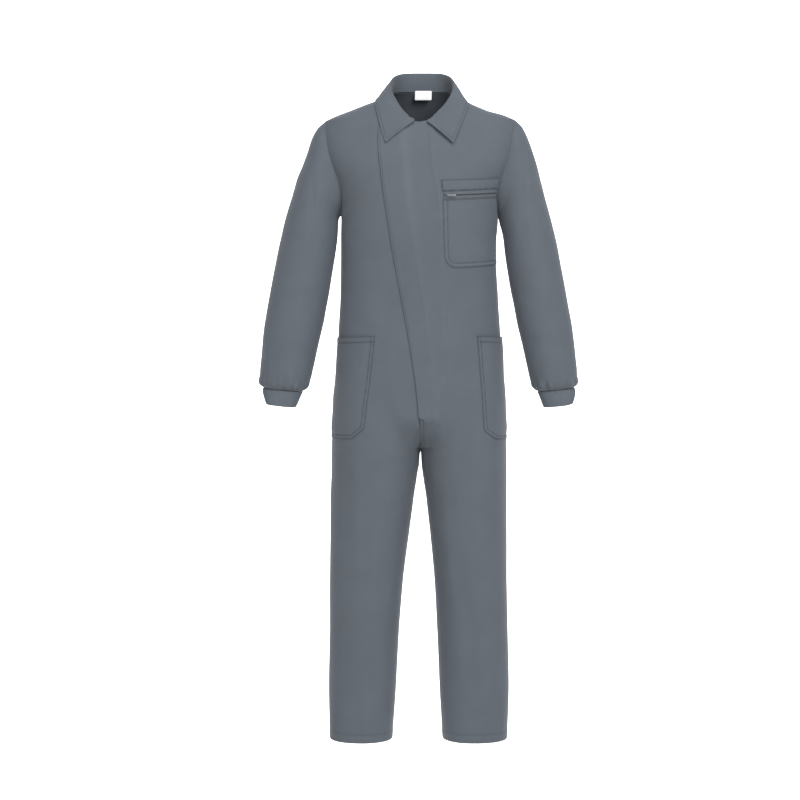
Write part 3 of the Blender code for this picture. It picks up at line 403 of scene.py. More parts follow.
# The two halves are not quite alike.  How far the leg's inner line, the side,
# and the sleeve's inner and outer lines move away from the suit's middle, on
# the wearer's right (-1) and left (1).
UNLIKE = {
    -1: Table("z leg side sleeve_in sleeve_out", [
        (6, 0, 0, 0, 0), (-52, 0, 0, 0, -2), (-88, 0, 0, 0, -2), (-120, 0, 0, 0, -2), (-155, 0, 0, 0, 0.5),
        (-190, 0, 0, 0, 5), (-275, 0, 1, 1, 5), (-330, 0, 3, -3.7, 4), (-400, 0, 3, -3.7, 4.2),
        (-470, 0, 2.2, -4.4, 4.2), (-540, 0, 1.6, -7.4, 4.2), (-600, 0, 0.4, -7.9, 3.0), (-660, 0, 0.8, -6.0, 3.6),
        (-700, 0, 2.2, -1.0, 0), (-762, -1.5, 2.4, 0, 0), (-814, -3.8, 2.4, 0, 0), (-868, -3.4, 2.7, 0, 0),
        (-934, -4.4, 4.2, 0, 0), (-1029, -3.8, 4.0, 0, 0), (-1143, -2.6, 3.2, 0, 0), (-1258, 0.4, 1.2, 0, 0),
        (-1380, 0.9, 1.6, 0, 0), (-1508, 2.8, 1.2, 0, 0),
    ]),
    1: Table("z leg side sleeve_in sleeve_out", [
        (6, 0, 0, 0, 0), (-52, 0, 0, 0, 0), (-88, 0, 0, 0, 1), (-120, 0, 0, 0, 2.6), (-155, 0, 0, 0, 3.4),
        (-190, 0, 0, 0, 2.2), (-275, 0, -1, -1, 0), (-330, 0, -2.8, 1.9, 0), (-400, 0, 1.2, 0.8, -1.4),
        (-470, 0, 3.8, 0.8, -1.5), (-540, 0, 3.6, -1.9, 0), (-600, 0, 4.8, -1.6, 0), (-660, 0, 4.6, -0.5, 0.8),
        (-700, 0, 3.6, 2.8, 0.8), (-762, 1.5, 2.5, 0, 0), (-814, 3.8, 2.4, 0, 0), (-868, 1.9, 2.9, 0, 0),
        (-934, 0, 2.2, 0, 0), (-1029, -0.9, 2.4, 0, 0), (-1143, -2.6, 1.2, 0, 0), (-1258, -2.7, 1.0, 0, 0),
        (-1380, -3.4, 1.2, 0, 0), (-1508, -3.6, -0.4, 0, 0),
    ]),
}
SLEEVE_IN = np.array([(-z, x) for _, _, _, x, z, *_ in SLEEVE.rows])
SLEEVE_OUT = np.array([(-z, x) for _, x, z, *_ in SLEEVE.rows])


def unlike(half, name, z):
    table = UNLIKE[half]
    if SMOOTH:
        return table.at(name, z)
    return np.interp(z, table.rows[:, 0], table.rows[:, table.names.index(name)])


def settle(p):
    """The whole suit as it sits: the neck a little to the wearer's left, and
    each half with its own ease."""
    p = np.array(p, float)
    x, z = p[..., 0].copy(), p[..., 2]
    away = np.abs(x)
    leg = np.where(z < CROTCH_Z, LEG.at("centre", z) - LEG.at("half", z), 0.0)
    side = np.where(z < CROTCH_Z, LEG.at("centre", z) + LEG.at("half", z), BODY.at("width", z))
    side = np.where(z > ARM_Z, ARMHOLE.at("out", z), side)
    inner = np.maximum(np.interp(-z, *SLEEVE_IN.T), side + 0.5)
    outer = np.maximum(np.interp(-z, *SLEEVE_OUT.T), inner + 10.0)
    lines = (leg, side, inner, outer)
    for half in (-1, 1):
        here = (x < 0) if half < 0 else (x >= 0)
        moves = [unlike(half, name, z) for name in ("leg", "side", "sleeve_in", "sleeve_out")]
        moves[2] = np.where(z > ARM_Z, moves[1], moves[2])
        move = moves[0]
        for k in range(3):
            move = move + (moves[k + 1] - moves[k]) * np.clip((away - lines[k]) / np.maximum(lines[k + 1] - lines[k], 1e-6), 0, 1)
        p[..., 0] += np.where(here, half * move, 0.0)
    p[..., 0] += NECK_SHIFT * ease((p[..., 2] + 110) / 130)
    return p


SHOULDERS = shoulder_samples()


# ---------------------------------------------------------------- materials

class Nodes:
    """Short way to add shader nodes and link them."""

    def __init__(self, name):
        self.material = bpy.data.materials.new(name)
        self.material.use_nodes = True
        self.tree = self.material.node_tree
        self.shader = self.tree.nodes["Principled BSDF"]

    def add(self, kind, **inputs):
        node = self.tree.nodes.new(kind)
        for key, value in inputs.items():
            if key in ("operation", "data_type", "blend_type", "uv_map", "noise_dimensions", "wave_type",
                       "interpolation_type", "clamp", "feature", "distance", "vector_type"):
                if key == "distance" and kind == "ShaderNodeBump":
                    node.inputs["Distance"].default_value = value
                else:
                    setattr(node, key, value)
                continue
            socket = node.inputs[int(key[1:])] if key[0] == "i" and key[1:].isdigit() else node.inputs[key]
            self.put(socket, value)
        return node

    def put(self, socket, value):
        if isinstance(value, bpy.types.NodeSocket):
            self.tree.links.new(value, socket)
        elif isinstance(value, bpy.types.Node):
            self.tree.links.new(value.outputs[0], socket)
        else:
            socket.default_value = value

    def math(self, operation, a, b=0.0, c=0.0):
        return self.add("ShaderNodeMath", operation=operation, i0=a, i1=b, i2=c).outputs[0]

    def ramp(self, value, low, high, out_low=0.0, out_high=1.0):
        node = self.add("ShaderNodeMapRange", i0=value, i1=low, i2=high, i3=out_low, i4=out_high)
        return node.outputs[0]

    def mix(self, share, a, b):
        node = self.tree.nodes.new("ShaderNodeMix")
        node.data_type = "RGBA"
        self.put(node.inputs[0], share)
        self.put(node.inputs[6], a)
        self.put(node.inputs[7], b)
        return node.outputs[2]


def tone(color, scale):
    return tuple(c * scale for c in color) + (1.0,)


CLOTH_COLOR = (0.0735, 0.0845, 0.0990)
THREAD_COLOR = (0.045, 0.051, 0.060)


def cloth_material(name, color, turn=0.0, knit=False):
    """Twill, or rib knit, in millimetres of the map called cloth."""
    m = Nodes(name)
    uv = m.add("ShaderNodeUVMap", uv_map="cloth").outputs[0]
    split = m.add("ShaderNodeSeparateXYZ", i0=uv)
    u, v = split.outputs[0], split.outputs[1]
    two_pi = 2 * math.pi
    if knit:
        wale = m.math("SINE", m.math("MULTIPLY", u, two_pi / 1.35))
        course = m.math("ABSOLUTE", m.math("SINE", m.math("MULTIPLY", m.math("ADD", v, m.math("MULTIPLY", wale, 0.35)), math.pi / 1.1)))
        weave = m.math("ADD", m.math("MULTIPLY", wale, 0.4), m.math("MULTIPLY", course, 0.6))
    else:
        cu, cv = math.cos(turn), math.sin(turn)
        along = m.math("ADD", m.math("MULTIPLY", u, cu), m.math("MULTIPLY", v, cv))
        across = m.math("SUBTRACT", m.math("MULTIPLY", v, cu), m.math("MULTIPLY", u, cv))
        line = m.math("SINE", m.math("MULTIPLY", m.math("ADD", m.math("MULTIPLY", along, 0.85), across), two_pi / 1.15))
        warp = m.math("SINE", m.math("MULTIPLY", along, two_pi / 0.46))
        weft = m.math("SINE", m.math("MULTIPLY", across, two_pi / 0.54))
        weave = m.math("ADD", m.math("MULTIPLY", line, 0.6), m.math("MULTIPLY", m.math("MULTIPLY", warp, weft), 0.4))
    place = m.add("ShaderNodeTexCoord").outputs["Object"]
    wide = m.add("ShaderNodeTexNoise", i0=place, Scale=16.0, Detail=3.0, Roughness=0.55).outputs[0]
    fine = m.add("ShaderNodeTexNoise", i0=place, Scale=190.0, Detail=3.0, Roughness=0.6).outputs[0]
    stretch = m.add("ShaderNodeMapping", i0=uv)
    stretch.inputs["Scale"].default_value = (0.9, 0.035, 1.0)
    slub = m.add("ShaderNodeTexNoise", i0=stretch, Scale=1.0, Detail=2.0, Roughness=0.6).outputs[0]
    stretch2 = m.add("ShaderNodeMapping", i0=uv)
    stretch2.inputs["Scale"].default_value = (0.03, 0.8, 1.0)
    slub2 = m.add("ShaderNodeTexNoise", i0=stretch2, Scale=1.0, Detail=2.0, Roughness=0.6).outputs[0]
    share = m.math("ADD", m.math("MULTIPLY", wide, 0.42), m.math("MULTIPLY", fine, 0.16))
    share = m.math("ADD", share, m.math("MULTIPLY", slub, 0.2))
    share = m.math("ADD", share, m.math("MULTIPLY", slub2, 0.2))
    share = m.math("ADD", share, m.math("MULTIPLY", weave, 0.07))
    share = m.ramp(share, 0.3, 0.68)
    warm = tone((color[0] * 1.02, color[1] * 0.99, color[2] * 0.985), 0.925)
    cool = tone((color[0] * 0.985, color[1] * 1.01, color[2] * 1.015), 1.075)
    # painted light and shade: a per-point attribute makes ridges paler and seams and stitch rows darker
    painted_shading_attr = m.add("ShaderNodeAttribute")
    painted_shading_attr.attribute_name = "painted_shading"
    amount = m.math("ADD", m.math("MULTIPLY", painted_shading_attr.outputs["Fac"], m.ramp(fine, 0.3, 0.7, 0.8, 1.2)), 1.0)
    scale = m.add("ShaderNodeVectorMath", operation="SCALE", i0=m.mix(share, warm, cool))
    m.put(scale.inputs["Scale"], amount)
    m.put(m.shader.inputs["Base Color"], scale.outputs[0])
    m.put(m.shader.inputs["Roughness"], m.ramp(m.math("ADD", fine, m.math("MULTIPLY", weave, 0.1)), 0.2, 0.9, 0.78, 0.93))
    m.shader.inputs["Sheen Weight"].default_value = 0.16
    m.shader.inputs["Sheen Roughness"].default_value = 0.45
    m.shader.inputs["Sheen Tint"].default_value = (0.8, 0.86, 0.92, 1.0)
    m.shader.inputs["Specular IOR Level"].default_value = 0.25
    height = m.math("ADD", m.math("MULTIPLY", weave, 0.5), m.math("MULTIPLY", m.math("ADD", slub, slub2), 0.55))
    bump = m.add("ShaderNodeBump", Strength=0.28 if knit else 0.2, distance=0.0003, Height=height)
    m.put(m.shader.inputs["Normal"], bump.outputs[0])
    return m.material


def thread_material():
    m = Nodes("thread")
    place = m.add("ShaderNodeTexCoord").outputs["Object"]
    noise = m.add("ShaderNodeTexNoise", i0=place, Scale=900.0, Detail=2.0).outputs[0]
    m.put(m.shader.inputs["Base Color"], m.mix(m.ramp(noise, 0.35, 0.65), tone(THREAD_COLOR, 0.85), tone(THREAD_COLOR, 1.15)))
    m.put(m.shader.inputs["Roughness"], m.ramp(noise, 0.3, 0.7, 0.5, 0.7))
    bump = m.add("ShaderNodeBump", Strength=0.3, distance=0.0002, Height=noise)
    m.put(m.shader.inputs["Normal"], bump.outputs[0])
    return m.material


def metal_material():
    m = Nodes("nickel")
    place = m.add("ShaderNodeTexCoord").outputs["Object"]
    noise = m.add("ShaderNodeTexNoise", i0=place, Scale=700.0, Detail=3.0).outputs[0]
    m.put(m.shader.inputs["Base Color"], m.mix(m.ramp(noise, 0.3, 0.7), (0.13, 0.133, 0.137, 1), (0.2, 0.204, 0.21, 1)))
    m.put(m.shader.inputs["Roughness"], m.ramp(noise, 0.3, 0.7, 0.44, 0.6))
    m.shader.inputs["Metallic"].default_value = 1.0
    bump = m.add("ShaderNodeBump", Strength=0.1, distance=0.0001, Height=noise)
    m.put(m.shader.inputs["Normal"], bump.outputs[0])
    return m.material


def plain_weave_material(name, color, pitch, spread, sheen):
    """Tape or label: a fine plain weave in the map called cloth."""
    m = Nodes(name)
    uv = m.add("ShaderNodeUVMap", uv_map="cloth").outputs[0]
    split = m.add("ShaderNodeSeparateXYZ", i0=uv)
    a = m.math("SINE", m.math("MULTIPLY", split.outputs[0], 2 * math.pi / pitch))
    b = m.math("SINE", m.math("MULTIPLY", split.outputs[1], 2 * math.pi / pitch))
    weave = m.math("MULTIPLY", a, b)
    place = m.add("ShaderNodeTexCoord").outputs["Object"]
    noise = m.add("ShaderNodeTexNoise", i0=place, Scale=260.0, Detail=3.0).outputs[0]
    share = m.math("ADD", m.math("MULTIPLY", weave, 0.12), noise)
    m.put(m.shader.inputs["Base Color"], m.mix(m.ramp(share, 0.3, 0.7), tone(color, 1 - spread), tone(color, 1 + spread)))
    m.put(m.shader.inputs["Roughness"], m.ramp(share, 0.3, 0.7, 0.7, 0.85))
    m.shader.inputs["Sheen Weight"].default_value = sheen
    bump = m.add("ShaderNodeBump", Strength=0.2, distance=0.0002, Height=weave)
    m.put(m.shader.inputs["Normal"], bump.outputs[0])
    return m.material


TWILL = cloth_material("twill", CLOTH_COLOR)
TWILL_CROSS = cloth_material("twill_collar", CLOTH_COLOR, turn=math.pi / 2)
KNIT = cloth_material("rib_knit", (CLOTH_COLOR[0] * 1.16, CLOTH_COLOR[1] * 1.16, CLOTH_COLOR[2] * 1.15), knit=True)
THREAD = thread_material()
NICKEL = metal_material()
TAPE = plain_weave_material("zip_tape", (0.034, 0.039, 0.046), 0.9, 0.12, 0.1)
LABEL_CLOTH = plain_weave_material("label_cloth", (0.8, 0.81, 0.82), 0.6, 0.03, 0.1)


# ------------------------------------------------------------------- meshes

def mesh_piece(name, points, faces, look, node=None, uv=None, body="root", painted_shading=None):
    """A piece from mm points and quads or triangles, riding on a body."""
    mesh = bpy.data.meshes.new(name)
    faces = [np.asarray(f) for f in faces]
    loops = np.concatenate([f.reshape(-1) for f in faces])
    sizes = np.concatenate([np.full(len(f), f.shape[1]) for f in faces])
    mesh.vertices.add(len(points))
    mesh.vertices.foreach_set("co", (np.asarray(points, float) * MM).reshape(-1).astype(np.float32))
    mesh.loops.add(len(loops))
    mesh.loops.foreach_set("vertex_index", loops.astype(np.int32))
    mesh.polygons.add(len(sizes))
    mesh.polygons.foreach_set("loop_start", np.concatenate([[0], np.cumsum(sizes)[:-1]]).astype(np.int32))
    mesh.polygons.foreach_set("loop_total", sizes.astype(np.int32))
    mesh.update(calc_edges=True)
    if uv is not None:
        layer = mesh.uv_layers.new(name="cloth")
        layer.data.foreach_set("uv", np.asarray(uv, float).reshape(-1).astype(np.float32))
    # painted light and shade, per point, which the cloth material scales its colour by
    if painted_shading is not None:
        kept = mesh.attributes.new("painted_shading", "FLOAT", "POINT")
        kept.data.foreach_set("value", np.asarray(painted_shading, float).reshape(-1).astype(np.float32))
    mesh.validate()
    mesh.shade_smooth()
    mesh.set_sharp_from_angle(angle=math.radians(60))
    mesh.materials.append(look)
    made = bpy.data.objects.new(name, mesh)
    bpy.context.scene.collection.objects.link(made)
    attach(made, body)
    if node:
        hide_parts(node)
    return made


def shell(name, outer, inner, cells, uv, look, node=None, uv_cells=None, painted_shading=None):
    """A closed thin wall between two faces that share one grid of points."""
    outer, inner = settle(outer).reshape(-1, 3), settle(inner).reshape(-1, 3)
    cells = np.asarray(cells)
    uv = np.asarray(uv).reshape(-1, 2)
    uv_cells = cells if uv_cells is None else np.asarray(uv_cells)
    count = len(outer)
    heads, tails = cells, np.roll(cells, -1, axis=1)
    forward = heads.astype(np.int64) * count + tails
    backward = tails.astype(np.int64) * count + heads
    rim = ~np.isin(forward, backward)
    a, b = heads[rim], tails[rim]
    ua, ub = uv_cells[rim], np.roll(uv_cells, -1, axis=1)[rim]
    rims = np.stack([b, a, a + count, b + count], 1)
    # the edge that a cell has twice, where a grid comes to a point, has no rim
    keep = a != b
    rims, ua, ub = rims[keep], ua[keep], ub[keep]
    inside = cells[:, ::-1] + count
    loops_uv = np.concatenate([
        uv[uv_cells].reshape(-1, 2), uv[uv_cells[:, ::-1]].reshape(-1, 2),
        np.stack([uv[ub], uv[ua], uv[ua] + 0.3, uv[ub] + 0.3], 1).reshape(-1, 2),
    ])
    # the painted light and shade goes on the outer face only
    if painted_shading is not None:
        painted_shading = np.concatenate([np.asarray(painted_shading, float).reshape(-1), np.zeros(count)])
    return mesh_piece(name, np.concatenate([outer, inner]), [cells, inside, rims], look, node, loops_uv, painted_shading=painted_shading)


def grid_cells(rows, columns, closed=False, keep=None):
    j, i = np.meshgrid(np.arange(rows - 1), np.arange(columns if closed else columns - 1), indexing="ij")
    k = (i + 1) % columns
    cells = np.stack([j * columns + i, j * columns + k, (j + 1) * columns + k, (j + 1) * columns + i], -1)
    wide = columns + 1
    open_cells = np.stack([j * wide + i, j * wide + i + 1, (j + 1) * wide + i + 1, (j + 1) * wide + i], -1)
    if keep is not None:
        cells = cells[keep(j, i)]
    return cells.reshape(-1, 4), open_cells.reshape(-1, 4)


# ---------------------------------------------------------------- shoulders

# How far the cloth stands above the solids' shoulders, or below, by x.  The
# two shoulders are not alike.
SHOULDER_EASE = [
    (-262, 0), (-240, -1.6), (-222, -2.6), (-208, -0.4), (-194, 2.0), (-180, 2.6), (-152, 3.2), (-136, 3.2), (-112, 2.4), (-92, 0.4), (-84, 0),
    (112, 0), (128, -1.6), (157, -1.8), (171, -0.4), (185, 2.0), (199, 3.0), (213, 2.4), (227, 0.4), (241, -2.2), (255, -1.8), (275, 0),
]


def shoulder_line():
    x = np.arange(-300, 301)
    up = np.interp(x, *np.array(SHOULDER_EASE, float).T)
    weight = np.exp(-((np.arange(-18, 19) / 7.0) ** 2))
    return x, np.convolve(up, weight / weight.sum(), mode="same")


SHOULDER_X, SHOULDER_UP = shoulder_line()
# How far the legs' inner sides stand apart beyond the solids', by z.
LEGS_Z, LEGS_APART = np.array([
    (-975, 0), (-951, 0.2), (-927, 0.9), (-904, 0.8), (-880, 1.2), (-866, 0.7), (-847, 0), (-806, 0),
]).T
settle_halves = settle


def settle(p):
    q = np.array(settle_halves(p), float)
    q[..., 2] += np.interp(q[..., 0], SHOULDER_X, SHOULDER_UP) * ease((q[..., 2] + 190) / 100)
    x = q[..., 0]
    apart = np.interp(q[..., 2], LEGS_Z, LEGS_APART) * np.exp(-((x / 42.0) ** 2))
    q[..., 0] = np.sign(x) * np.maximum(np.abs(x) + apart, np.minimum(np.abs(x), 0.05))
    return q


# -------------------------------------------------------------------- folds

class Crease:
    """A soft line with its own height (negative is a trough) and half width
    at each of its points, faded between them."""

    def __init__(self, *points):
        self.points = np.array(points, float)     # a, b, height, width

    def at(self, a, b):
        best = np.full(np.shape(a), 1e9)
        found = np.zeros(np.shape(a))
        for p, q in zip(self.points[:-1], self.points[1:]):
            d = q[:2] - p[:2]
            t = np.clip(((a - p[0]) * d[0] + (b - p[1]) * d[1]) / (d @ d), 0, 1)
            away = np.hypot(a - p[0] - t * d[0], b - p[1] - t * d[1])
            high, wide = p[2] + (q[2] - p[2]) * t, p[3] + (q[3] - p[3]) * t
            here = high * np.exp(-((away / wide) ** 2))
            nearer = away < best
            best = np.where(nearer, away, best)
            found = np.where(nearer, here, found)
        return found


# Fronts, by x (the wearer's left is +) and z.
FRONT_CREASES = [
    Crease((-168, -800, 0, 12), (-170, -880, -2.2, 13), (-168, -1000, -1.8, 14), (-166, -1150, 0, 14)),
    Crease((-147, -800, 0, 12), (-146, -880, 1.8, 13), (-147, -1010, 1.6, 13), (-149, -1160, 0, 14)),
    Crease((-95, -900, 0, 16), (-104, -1020, 1.2, 16), (-118, -1200, 1.5, 15), (-124, -1400, 1.2, 14), (-126, -1507, 0.8, 14)),
    Crease((52, -880, 0, 12), (60, -980, 1.6, 12), (76, -1110, 1.6, 13), (94, -1260, 1.4, 13), (103, -1420, 1.5, 12), (105, -1507, 1.0, 12)),
    Crease((84, -1000, 0, 12), (104, -1120, -1.2, 14), (122, -1260, -1.2, 14), (130, -1420, -0.8, 14), (132, -1500, 0, 14)),
    Crease((160, -900, 0, 12), (166, -1030, 1.6, 13), (172, -1180, 1.2, 13), (178, -1330, 0, 13)),
    Crease((-58, -900, 0, 12), (-66, -1010, -1.2, 12), (-84, -1150, -1.4, 13), (-94, -1300, 0, 13)),
    # from the underarms across the chest
    Crease((-172, -262, 0, 9), (-160, -240, -2.0, 9), (-138, -206, -1.5, 11), (-112, -170, 0, 12)),
    Crease((-176, -285, 0, 9), (-160, -268, 1.6, 10), (-134, -238, 1.2, 12), (-104, -205, 0, 12)),
    Crease((-170, -330, 0, 12), (-150, -322, -1.4, 13), (-120, -300, 0, 14)),
    Crease((150, -150, 0, 10), (164, -180, -1.6, 10), (174, -215, -1.2, 9), (176, -240, 0, 9)),
    Crease((112, -60, 0, 12), (140, -92, -1.2, 14), (168, -128, -1.4, 13), (184, -160, 0, 12)),
    Crease((-118, -62, 0, 12), (-144, -96, -1.2, 14), (-170, -132, -1.4, 13), (-186, -164, 0, 12)),
    # the waist and hips
    Crease((-150, -470, 0, 14), (-128, -500, 1.3, 15), (-100, -520, 1.0, 16), (-78, -526, 0, 16)),
    Crease((150, -455, 0, 14), (122, -484, 1.4, 15), (96, -500, 1.0, 16), (70, -505, 0, 16)),
    Crease((-140, -430, 0, 14), (-110, -446, -1.1, 15), (-84, -456, 0, 16)),
    Crease((144, -418, 0, 14), (112, -440, -1.1, 15), (84, -450, 0, 16)),
    Crease((-120, -350, 0, 16), (-122, -440, 1.1, 18), (-116, -530, 0, 18)),
    Crease((100, -540, 0, 14), (92, -620, 1.2, 16), (84, -700, 1.0, 16), (70, -770, 0, 14)),
    Crease((-74, -560, 0, 14), (-66, -640, 1.1, 16), (-52, -710, 0.9, 14), (-34, -765, 0, 12)),
    # from the crotch
    Crease((14, -800, 0, 8), (32, -786, -1.6, 9), (58, -764, -1.2, 11), (88, -745, 0, 12)),
    Crease((-14, -802, 0, 8), (-34, -788, -1.5, 9), (-62, -768, -1.1, 11), (-92, -750, 0, 12)),
    Crease((20, -836, 0, 8), (44, -828, 1.5, 9), (76, -812, 1.1, 12), (110, -800, 0, 13)),
    Crease((-20, -838, 0, 8), (-44, -830, 1.4, 9), (-78, -816, 1.0, 12), (-112, -802, 0, 13)),
    # above the hems
    Crease((-150, -1380, 0, 10), (-130, -1400, 1.3, 11), (-104, -1408, 0, 11)),
    Crease((178, -1400, 0, 10), (158, -1424, 1.3, 11), (128, -1436, 0, 11)),
]
# Backs, the same way.
BACK_CREASES = [
    Crease((-96, -60, 0, 16), (-104, -140, 2.0, 18), (-100, -230, 1.8, 18), (-88, -330, 0, 18)),
    Crease((98, -60, 0, 16), (108, -146, 2.0, 18), (104, -240, 1.7, 18), (90, -340, 0, 18)),
    Crease((-176, -270, 0, 10), (-158, -244, -2.4, 11), (-132, -206, -1.8, 13), (-104, -170, 0, 14)),
    Crease((176, -268, 0, 10), (158, -240, -2.4, 11), (130, -202, -1.8, 13), (102, -168, 0, 14)),
    Crease((-170, -330, 0, 12), (-140, -352, 1.8, 14), (-100, -364, 0, 15)),
    Crease((170, -326, 0, 12), (142, -348, 1.9, 14), (100, -362, 0, 15)),
    Crease((-150, -420, 0, 14), (-110, -436, 2.4, 15), (-60, -441, 1.8, 15), (-20, -438, 0, 14)),
    Crease((154, -414, 0, 14), (108, -432, 2.3, 15), (58, -440, 1.9, 15), (16, -442, 0, 14)),
    Crease((-140, -462, 0, 12), (-96, -474, -2.0, 14), (-40, -478, 0, 14)),
    Crease((144, -458, 0, 12), (94, -472, -2.0, 14), (42, -480, 0, 14)),
    Crease((-60, -130, 0, 16), (-52, -220, -1.6, 18), (-46, -320, -1.4, 18), (-40, -400, 0, 16)),
    Crease((60, -120, 0, 16), (54, -214, -1.6, 18), (46, -318, -1.4, 18), (40, -402, 0, 16)),
    Crease((-18, -800, 0, 9), (-48, -776, -2.4, 11), (-90, -742, -1.8, 14), (-136, -716, 0, 16)),
    Crease((18, -800, 0, 9), (48, -774, -2.4, 11), (92, -740, -1.8, 14), (138, -712, 0, 16)),
    Crease((-24, -850, 0, 9), (-60, -838, 2.0, 12), (-112, -826, 1.4, 14), (-150, -820, 0, 14)),
    Crease((24, -850, 0, 9), (62, -838, 2.0, 12), (114, -824, 1.4, 14), (152, -818, 0, 14)),
    Crease((-170, -1030, 0, 12), (-130, -1052, 2.4, 13), (-86, -1060, 1.6, 13), (-60, -1056, 0, 12)),
    Crease((170, -1024, 0, 12), (132, -1048, 2.4, 13), (88, -1060, 1.6, 13), (60, -1058, 0, 12)),
    Crease((-164, -1090, 0, 12), (-124, -1104, -2.0, 13), (-84, -1106, 0, 12)),
    Crease((166, -1084, 0, 12), (126, -1102, -2.0, 13), (84, -1108, 0, 12)),
    Crease((-116, -1180, 0, 14), (-122, -1290, 1.8, 15), (-128, -1410, 1.6, 14), (-130, -1507, 1, 14)),
    Crease((118, -1176, 0, 14), (126, -1290, 1.8, 15), (130, -1410, 1.6, 14), (131, -1507, 1, 14)),
    Crease((-170, -1380, 0, 11), (-144, -1408, 1.6, 12), (-108, -1418, 0, 12)),
    Crease((172, -1376, 0, 11), (144, -1404, 1.6, 12), (108, -1416, 0, 12)),
]
# Sleeves, by mm round from the underarm-front-shoulder line and mm along.
SLEEVE_CREASES = {
    "left": [
        Crease((70, 30, 0, 12), (95, 80, -2.0, 13), (120, 140, -1.6, 14), (135, 200, 0, 14)),
        Crease((150, 250, 0, 12), (120, 275, 2.4, 13), (84, 290, 1.8, 13), (50, 296, 0, 12)),
        Crease((160, 290, 0, 12), (128, 310, -2.0, 12), (92, 322, 0, 12)),
        Crease((146, 380, 0, 12), (116, 396, 2.2, 13), (82, 402, 1.4, 12), (56, 400, 0, 12)),
        Crease((100, 430, 0, 12), (112, 480, 1.8, 12), (118, 530, 1.4, 11), (120, 575, 0, 11)),
        Crease((70, 450, 0, 12), (76, 500, -1.6, 12), (84, 560, 0, 11)),
        Crease((20, 60, 0, 10), (50, 44, -2.2, 11), (84, 30, 0, 12)),
        Crease((24, 100, 0, 10), (60, 92, 2.0, 12), (98, 70, 0, 13)),
        Crease((-40, 40, 0, 12), (-70, 70, -2.2, 13), (-110, 130, 0, 14)),
        Crease((-30, 280, 0, 12), (-70, 300, 2.6, 13), (-120, 296, 1.8, 13), (-160, 284, 0, 12)),
        Crease((-40, 330, 0, 12), (-80, 342, -2.4, 12), (-130, 336, 0, 12)),
        Crease((-90, 400, 0, 12), (-98, 470, 2.0, 13), (-96, 560, 0, 12)),
        Crease((200, 120, 0, 12), (196, 200, 1.6, 14), (188, 300, 0, 14)),
    ],
    "right": [
        Crease((74, 36, 0, 12), (98, 84, -1.9, 13), (122, 150, -1.5, 14), (138, 205, 0, 14)),
        Crease((154, 262, 0, 12), (122, 284, 2.2, 13), (88, 300, 1.7, 13), (52, 304, 0, 12)),
        Crease((150, 330, 0, 12), (120, 348, -1.8, 12), (90, 356, 0, 12)),
        Crease((140, 400, 0, 12), (112, 412, 2.0, 13), (80, 416, 1.4, 12), (54, 410, 0, 12)),
        Crease((96, 440, 0, 12), (106, 490, 1.8, 12), (112, 540, 1.5, 11), (116, 580, 0, 11)),
        Crease((64, 440, 0, 12), (68, 500, -1.6, 12), (76, 566, 0, 11)),
        Crease((22, 66, 0, 10), (52, 48, -2.0, 11), (86, 36, 0, 12)),
        Crease((26, 108, 0, 10), (62, 98, 1.8, 12), (100, 78, 0, 13)),
        Crease((-42, 46, 0, 12), (-72, 78, -2.2, 13), (-112, 136, 0, 14)),
        Crease((-32, 290, 0, 12), (-72, 306, 2.5, 13), (-122, 300, 1.8, 13), (-160, 290, 0, 12)),
        Crease((-42, 344, 0, 12), (-84, 352, -2.2, 12), (-132, 346, 0, 12)),
        Crease((-88, 410, 0, 12), (-96, 480, 1.9, 13), (-94, 566, 0, 12)),
        Crease((204, 130, 0, 12), (198, 210, 1.5, 14), (190, 306, 0, 14)),
    ],
}
# The placket's inner edge, and the edge of the layer below, both seen as
# soft ridges on the left front.
PLACKET = Table("z out", [
    (-57, -38), (-100, -37), (-118, -35), (-160, -30), (-215, -26), (-260, -21), (-330, -11), (-420, 3), (-500, 16), (-600, 26), (-700, 35), (-740, 38),
])
LAYER = Table("z out", [(-57, 30), (-150, 34), (-190, 42), (-240, 50), (-300, 57), (-400, 60), (-560, 56), (-700, 46), (-740, 42)])


def folds(face, x, z):
    found = np.zeros(np.shape(x))
    for crease in FRONT_CREASES if face < 0 else BACK_CREASES:
        found = found + crease.at(x, z)
    # slow, uneven waver of the whole cloth
    k = 1.0 if face < 0 else 1.6
    found = found + k * 0.45 * np.sin(x / 33.0 + 1.3 * np.sin(z / 160.0)) * np.sin(z / 118.0 + 0.4 * face)
    found = found + k * 0.3 * np.sin(x / 19.0 + z / 90.0)
    return found * ease((-z + 4) / 60)


def fine_lift(x, z):
    """How far the left front stands off the right one; x from the centre,
    positive on the wearer's left."""
    fade = ease((z + 762) / 26)
    layer, placket = LAYER.at("out", z), PLACKET.at("out", z)
    high = 2.6 * (1 - ease((x - layer + 6) / 13)) + 0.9 * (1 - ease((x - placket + 3) / 6))
    high = high + 1.1 * np.exp(-(((x - layer) / 4.5) ** 2)) + 1.5 * np.exp(-(((x - placket) / 6) ** 2))
    return high * fade


def fine_painted_shading(x, z):
    """Painted highlight on the left front's ridges at the placket and layer edges, and a painted shade strip about 9 mm
    in from the layer's edge.
    """
    layer, placket = LAYER.at("out", z), PLACKET.at("out", z)
    top = ease((z + 330) / 160)
    painted_light = (0.075 * top + 0.035) * np.exp(-(((x - placket) / 11) ** 2)) + 0.035 * np.exp(-(((x - layer) / 6) ** 2))
    return (painted_light - 0.07 * np.exp(-(((x - layer + 9) / 3.2) ** 2)) * top) * ease((z + 762) / 40)


SHELL = 1.0                      # the shells' thickness
EASE_SEAM = -0.05                # sewn edges run this far past the seam, so no light comes through


def row_lengths(points):
    step = np.linalg.norm(np.diff(points, axis=1), axis=-1)
    return np.concatenate([np.zeros((len(points), 1)), np.cumsum(step, 1)], 1)


